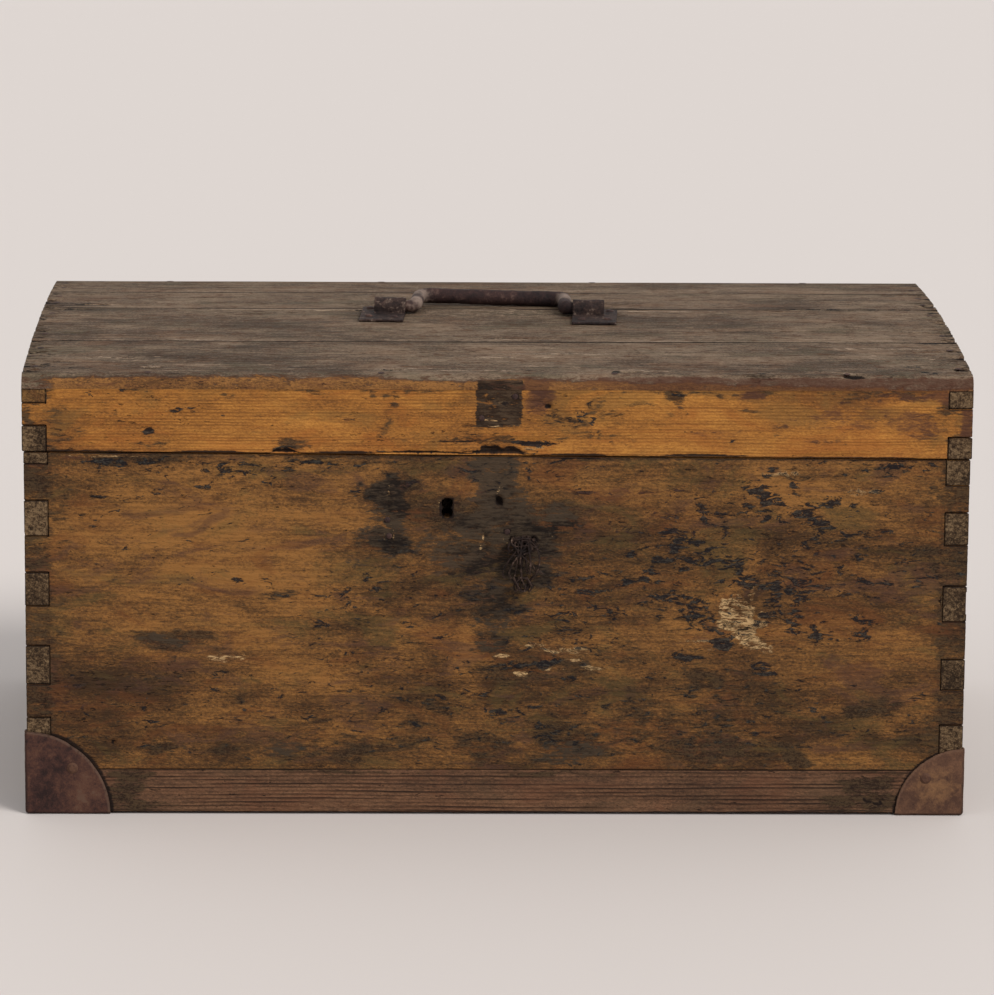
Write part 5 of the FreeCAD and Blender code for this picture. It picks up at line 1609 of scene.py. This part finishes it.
# %% The carrying bail
handle_turn = math.radians(-3.5)
handle_middle = Vector((-2.0 * MM, 9.75 * MM, top_z))
pivot_height = 6.2
bail_stations = [
    (-85.4, 0, 0, 4.4), (-75, 0, 0, 4.5), (-66, 0.0, 0, 4.5), (-61.5, 1.4, 0.0, 5.2),
    (-58.6, 6.0, 0.1, 5.6), (-57.6, 16, 0.4, 5.5), (-57.2, 28, 0.8, 5.3), (-56.6, 38, 0.9, 5.6),
    (-53.0, 45, 0.6, 6.0), (-46, 47.2, 0.4, 6.3), (-30, 47, 0.2, 6.1), (-8, 47, -0.2, 6.3),
    (16, 47, -0.6, 6.2), (36, 47, -0.8, 6.3), (47, 47, -0.9, 6.3), (54, 44.6, -0.6, 6.1),
    (57.4, 38, -0.4, 5.8), (58.0, 26, -0.3, 5.6), (58.4, 14, -0.2, 5.6), (59.4, 5.0, 0.0, 5.8),
    (62.5, 1.0, 0, 5.3), (68, 0, 0, 4.5), (77, 0, 0, 4.5), (85.4, 0, 0, 4.4),
]


def on_handle(x, y, z):
    """A place in the handle's own frame, in millimetres, as a place on the lid."""
    point = Matrix.Rotation(handle_turn, 3, "Z") @ (Vector((x, y, z + pivot_height)) * MM)
    return point + handle_middle


bail_path = smooth_path([(*on_handle(x, y, z), radius * MM) for x, y, z, radius in bail_stations], 6)
bm = bmesh.new()
loft(bm, bail_path, 18)
rough_metal(bm, 0.55 * MM, 150, 3.0)
bail = iron_piece(bm, "handle_bail", "forged_bail", bail_iron)
skin = np.array([vert.co for vert in bail.data.vertices])
bail_wear_and_painted_light = np.zeros((len(skin), 4))
bail_wear_and_painted_light[:, SHADE] = 0.5
# The lower side of the bar is painted darker, as painted shade under it.
bail_wear_and_painted_light[:, DIRT_AND_SHADE] = 0.3 * smooth(-skin[:, Z], -on_handle(0, 0, -1).z, -on_handle(0, 0, -4).z)
# The upper side of the knees is painted pale: worn crust, and a painted highlight.
for knee_x, knee_y in ((-56, 34), (56, 30), (-59, 8)):
    knee = on_handle(knee_x, knee_y, 3)
    away = np.linalg.norm(skin - np.array(knee), axis=1) / MM
    raise_to(bail_wear_and_painted_light, WEAR_AND_HIGHLIGHT, 0.8 * smooth(-away, -17, -5))
store(bail.data, "state", bail_wear_and_painted_light)

# %% [markdown]
# ## The handle plates
# Each plate is a strip of sheet, raised over the end of the bail and nailed flat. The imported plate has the
# form. A net over it takes hammer marks and frayed edges, and nothing sinks by more than part of the sheet.

# %% Hammered plates
plate_pitch = 1.6 * MM
for side_name in ("left", "right"):
    node = "handle_plate_" + side_name
    low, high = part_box(node)
    bm = merged_copy(node, ease_by=0.45 * MM)
    for axis in (X, Y, Z):
        slice_faces(bm, axis, ticks(low[axis], high[axis], plate_pitch, ()), large_enough(1.5e-6))
    for vert in points_of(bm)[0]:
        pitted = 0.5 + 0.6 * noise.fractal(vert.co * 190, 0.8, 2.1, 3)
        edge = 1 - smooth(max(abs(c) for c in vert.normal), 0.85, 0.99)
        chewed = smooth(noise.noise(vert.co * 240), 0.0, 0.5)
        upward = 0.4 + 0.6 * float(smooth(vert.normal.z, -0.2, 0.4))
        vert.co -= vert.normal * float(max(0.03, pitted * 0.45 * upward + 0.7 * edge * chewed)) * MM
    iron_piece(bm, node, "hammered_" + node, plate_iron)

# %% [markdown]
# ## The staple and the wire
# The hasp is gone, but its staple stayed, and somebody twisted a wire through it. Wire is never one clean
# loop: it is several thin strands that cross, with a knot of turns at the end. Each strand is a thin bar,
# and all of them together are one piece that swings on the staple.

# %% The hasp staple
staple_low, staple_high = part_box("hasp_staple")
staple_radius = 1.5 * MM
crown_y = staple_low.y + staple_radius
crown_z = (staple_low.z + staple_high.z) / 2
staple_left = staple_low.x + staple_radius
staple_right = staple_high.x - staple_radius
half_leg = [
    (0, staple_high.y), (0, front_y + 4 * MM), (0, front_y - 1 * MM), (0.4 * MM, crown_y + 1.2 * MM),
    (2.4 * MM, crown_y + 0.1 * MM),
]
staple_line = [(staple_left + inward, y) for inward, y in half_leg]
staple_line.append(((staple_left + staple_right) / 2, crown_y))
staple_line += [(staple_right - inward, y) for inward, y in reversed(half_leg)]
thin = staple_radius * 0.9
bm = bmesh.new()
loft(bm, smooth_path([(x, y, crown_z, thin) for x, y in staple_line], 5), 12)
rough_metal(bm, 0.18 * MM, 500, 1.0)
iron_piece(bm, "hasp_staple", "forged_staple", wire_iron)

# %% The twisted wire
wire_low, wire_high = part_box("wire_loop")
wire_x = (wire_low.x + wire_high.x) / 2
hang = 1.25
spread = 2.0
bm = bmesh.new()


def beside_staple(x, y, z, radius):
    """A place across, out and up from the staple's crown, with a radius there, all given in millimetres."""
    return Vector((wire_x + x * MM, crown_y + y * MM, crown_z + z * MM, radius * MM))


def wire_strand(stations, radius=0.78):
    """One strand through places that are then spread apart across and drawn out downwards."""
    loft(bm, smooth_path([beside_staple(x * spread, y, z * hang, radius) for x, y, z in stations], 6), 8)


wire_strand([
    (-1.2, -2.6, -14), (-1.0, -2.7, -6), (-0.7, -2.5, -1), (-0.4, -1.2, 2.0), (0, 0.6, 2.6),
    (0.3, 2.2, 1.4), (0.4, 2.8, -2), (0.8, 2.0, -10), (1.6, 0.6, -20),
])
wire_strand([
    (2.4, -1.6, -20), (2.6, -2.4, -12), (2.0, -2.8, -5), (1.8, -2.4, 0), (1.6, -0.6, 2.5),
    (1.4, 1.6, 2.2), (1.2, 2.7, -1), (0.2, 2.4, -8), (-0.8, 1.2, -17), (-0.4, 0.0, -24),
])
wire_strand([
    (-3.2, -0.4, -22), (-2.6, -1.8, -15), (-1.9, -2.5, -8), (-2.0, -2.6, -2), (-1.9, -1.0, 2.2),
    (-1.7, 1.6, 2.0), (-1.6, 2.6, -3), (-2.2, 1.4, -12), (-3.0, 0.2, -20),
], 0.5)
wire_strand([
    (-6.0, -0.6, -8), (-3.0, -2.0, -4), (0.5, -3.0, -2.5), (4.0, -2.0, -3.5), (6.5, -0.5, -7),
], 0.5)
wire_strand([
    (6.2, 0.8, -2), (3.2, -1.6, -5), (0.0, -3.1, -8), (-3.6, -1.8, -9), (-5.8, 0.6, -12),
], 0.45)
wire_strand([
    (-5.0, 1.0, -1), (-2.2, -1.9, -6), (1.0, -3.0, -11), (3.6, -1.6, -15), (4.6, 0.4, -19),
], 0.45)
wire_strand([
    (0.5, 2.2, 0.6), (-2.2, -1.8, -5), (-5.6, -2.4, -12), (-7.6, -1.0, -19), (-6.8, 0.4, -23),
], 0.6)
wire_strand([
    (1.5, 2.0, 0.4), (-0.5, -2.6, -6), (-3.8, -2.8, -13), (-5.2, -1.4, -20), (-3.0, 0.2, -26),
], 0.65)
wire_strand([
    (2.5, 1.5, 0.6), (5.0, -2.2, -5), (6.0, -2.6, -12), (4.6, -1.8, -20), (1.6, 0.4, -26),
], 0.65)

# %% Loose coils round the staple, kept low enough to clear the board when the wire swings up
tangle = np.random.default_rng(5)
coils = 14
coil_points = 22
coil_top = 1.8
for coil in range(coils):
    wide, tall = tangle.uniform(4.0, 9.5), tangle.uniform(4.0, 9.0)
    turn, start = tangle.uniform(0, 2 * math.pi), tangle.uniform(0, 2 * math.pi)
    aside, down = tangle.uniform(-3.0, 3.5), tangle.uniform(-7.0, 0.5)
    loop = []
    for i in range(coil_points):
        angle = 2 * math.pi * i / coil_points
        across, up = wide * math.cos(angle), tall * math.sin(angle)
        rise = down + across * math.sin(turn) * 0.8 + up * math.cos(turn) * 0.8
        rise = min(rise, coil_top + 0.2 * (rise - coil_top))
        loop.append(beside_staple(
            aside + across * math.cos(turn) - up * math.sin(turn),
            -0.4 + 2.6 * math.sin(angle * (1 + coil % 2) + start),
            rise,
            tangle.uniform(0.4, 0.75),
        ))
    loft(bm, loop, 6, closed=True)

# %% The knot at the foot of the wire
knot_down = -33
knot_turns = 3
knot_points = 16
for turn_index in range(knot_turns):
    lean = (turn_index - 1) * 0.7
    size = 5.4 - 0.7 * abs(turn_index - 1)
    loop = []
    for i in range(knot_points):
        angle = 2 * math.pi * i / knot_points
        loop.append(beside_staple(
            size * math.cos(angle) + lean,
            1.5 * math.sin(2 * angle + turn_index * 1.9) - 0.3,
            knot_down + size * 0.95 * math.sin(angle),
            0.7,
        ))
    loft(bm, loop, 8, closed=True)
twist = [
    (-1.2, -1.9, -22), (-0.2, -3.0, -25), (0.6, -2.6, -28), (-0.4, -0.6, -30.6), (-1.0, 1.4, -28),
    (0, 1.8, -24), (1.2, 0.2, -21.4),
]
for lean in (-2.4, 0.2, 2.6):
    wire_strand([(lean + x, y, z) for x, y, z in twist], 0.6)
iron_piece(bm, "wire_loop", "twisted_wire", wire_iron)

# %% [markdown]
# ## Nails, hinges and the lock
# The nails of the top are driven flush and the stumps on the front are broken off, so these two are shaped
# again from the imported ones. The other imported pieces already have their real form, so they stay, and only
# their finish changes. The thicker irons get a live bevel, after a weld that joins their loose triangles,
# so that the light catches their edges.

# %% The nails of the top, hammered and worn almost flush
flush = 0.12 * MM
bm = merged_copy("lid_top_nails", ease_by=0)
for vert in bm.verts:
    surface = top_z - crown(vert.co.y) - nosing_drop(vert.co.y)
    vert.co.z = min(vert.co.z, surface + flush)
bmesh.ops.dissolve_degenerate(bm, edges=bm.edges, dist=hair)
iron_piece(bm, "lid_top_nails", "flush_top_nails", forged_iron)

# %% The stumps on the front, broken off and rusted
bm = merged_copy("old_hasp_nails", ease_by=0)
for vert in bm.verts:
    proud = 0.5 + 0.4 * noise.noise(vert.co * 700)
    vert.co.y = max(vert.co.y, front_y - proud * MM)
bmesh.ops.dissolve_degenerate(bm, edges=bm.edges, dist=hair)
iron_piece(bm, "old_hasp_nails", "broken_stumps", forged_iron)

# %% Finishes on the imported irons
def dress(node, finish, soften=None):
    """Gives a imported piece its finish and, where it has square edges, a small bevel."""
    piece = nodes[node]
    if not piece.material_slots:
        piece.data.materials.append(finish)
    for slot in piece.material_slots:
        slot.material = finish
    if soften:
        weld = piece.modifiers.new("weld", "WELD")
        weld.merge_threshold = weld_gap
        bevel = piece.modifiers.new("soften", "BEVEL")
        bevel.width = soften
        bevel.segments = 2
        bevel.limit_method = "ANGLE"
        bevel.angle_limit = math.radians(40)


dress("corner_cap_nails", cap_nail_iron)
for node in (
    "bottom_nails", "hinge_body_nails", "hinge_lid_nails", "handle_nails", "lock_nails", "lock_strike_nails",
    "old_hasp_lid_nails", "hinge_left_pin", "hinge_right_pin",
):
    dress(node, forged_iron)
for node in (
    "hinge_left_body_leaf", "hinge_right_body_leaf", "hinge_left_lid_leaf", "hinge_right_lid_leaf",
    "lock_case", "lock_strike", "lock_bolt",
):
    dress(node, plate_iron, soften=0.4 * MM)
dress("lock_spring", plate_iron)
for node in ("bottom_plank_front", "bottom_plank_middle", "bottom_plank_back"):
    dress(node, inside_pine, soften=0.6 * MM)
print("packed irons dressed")
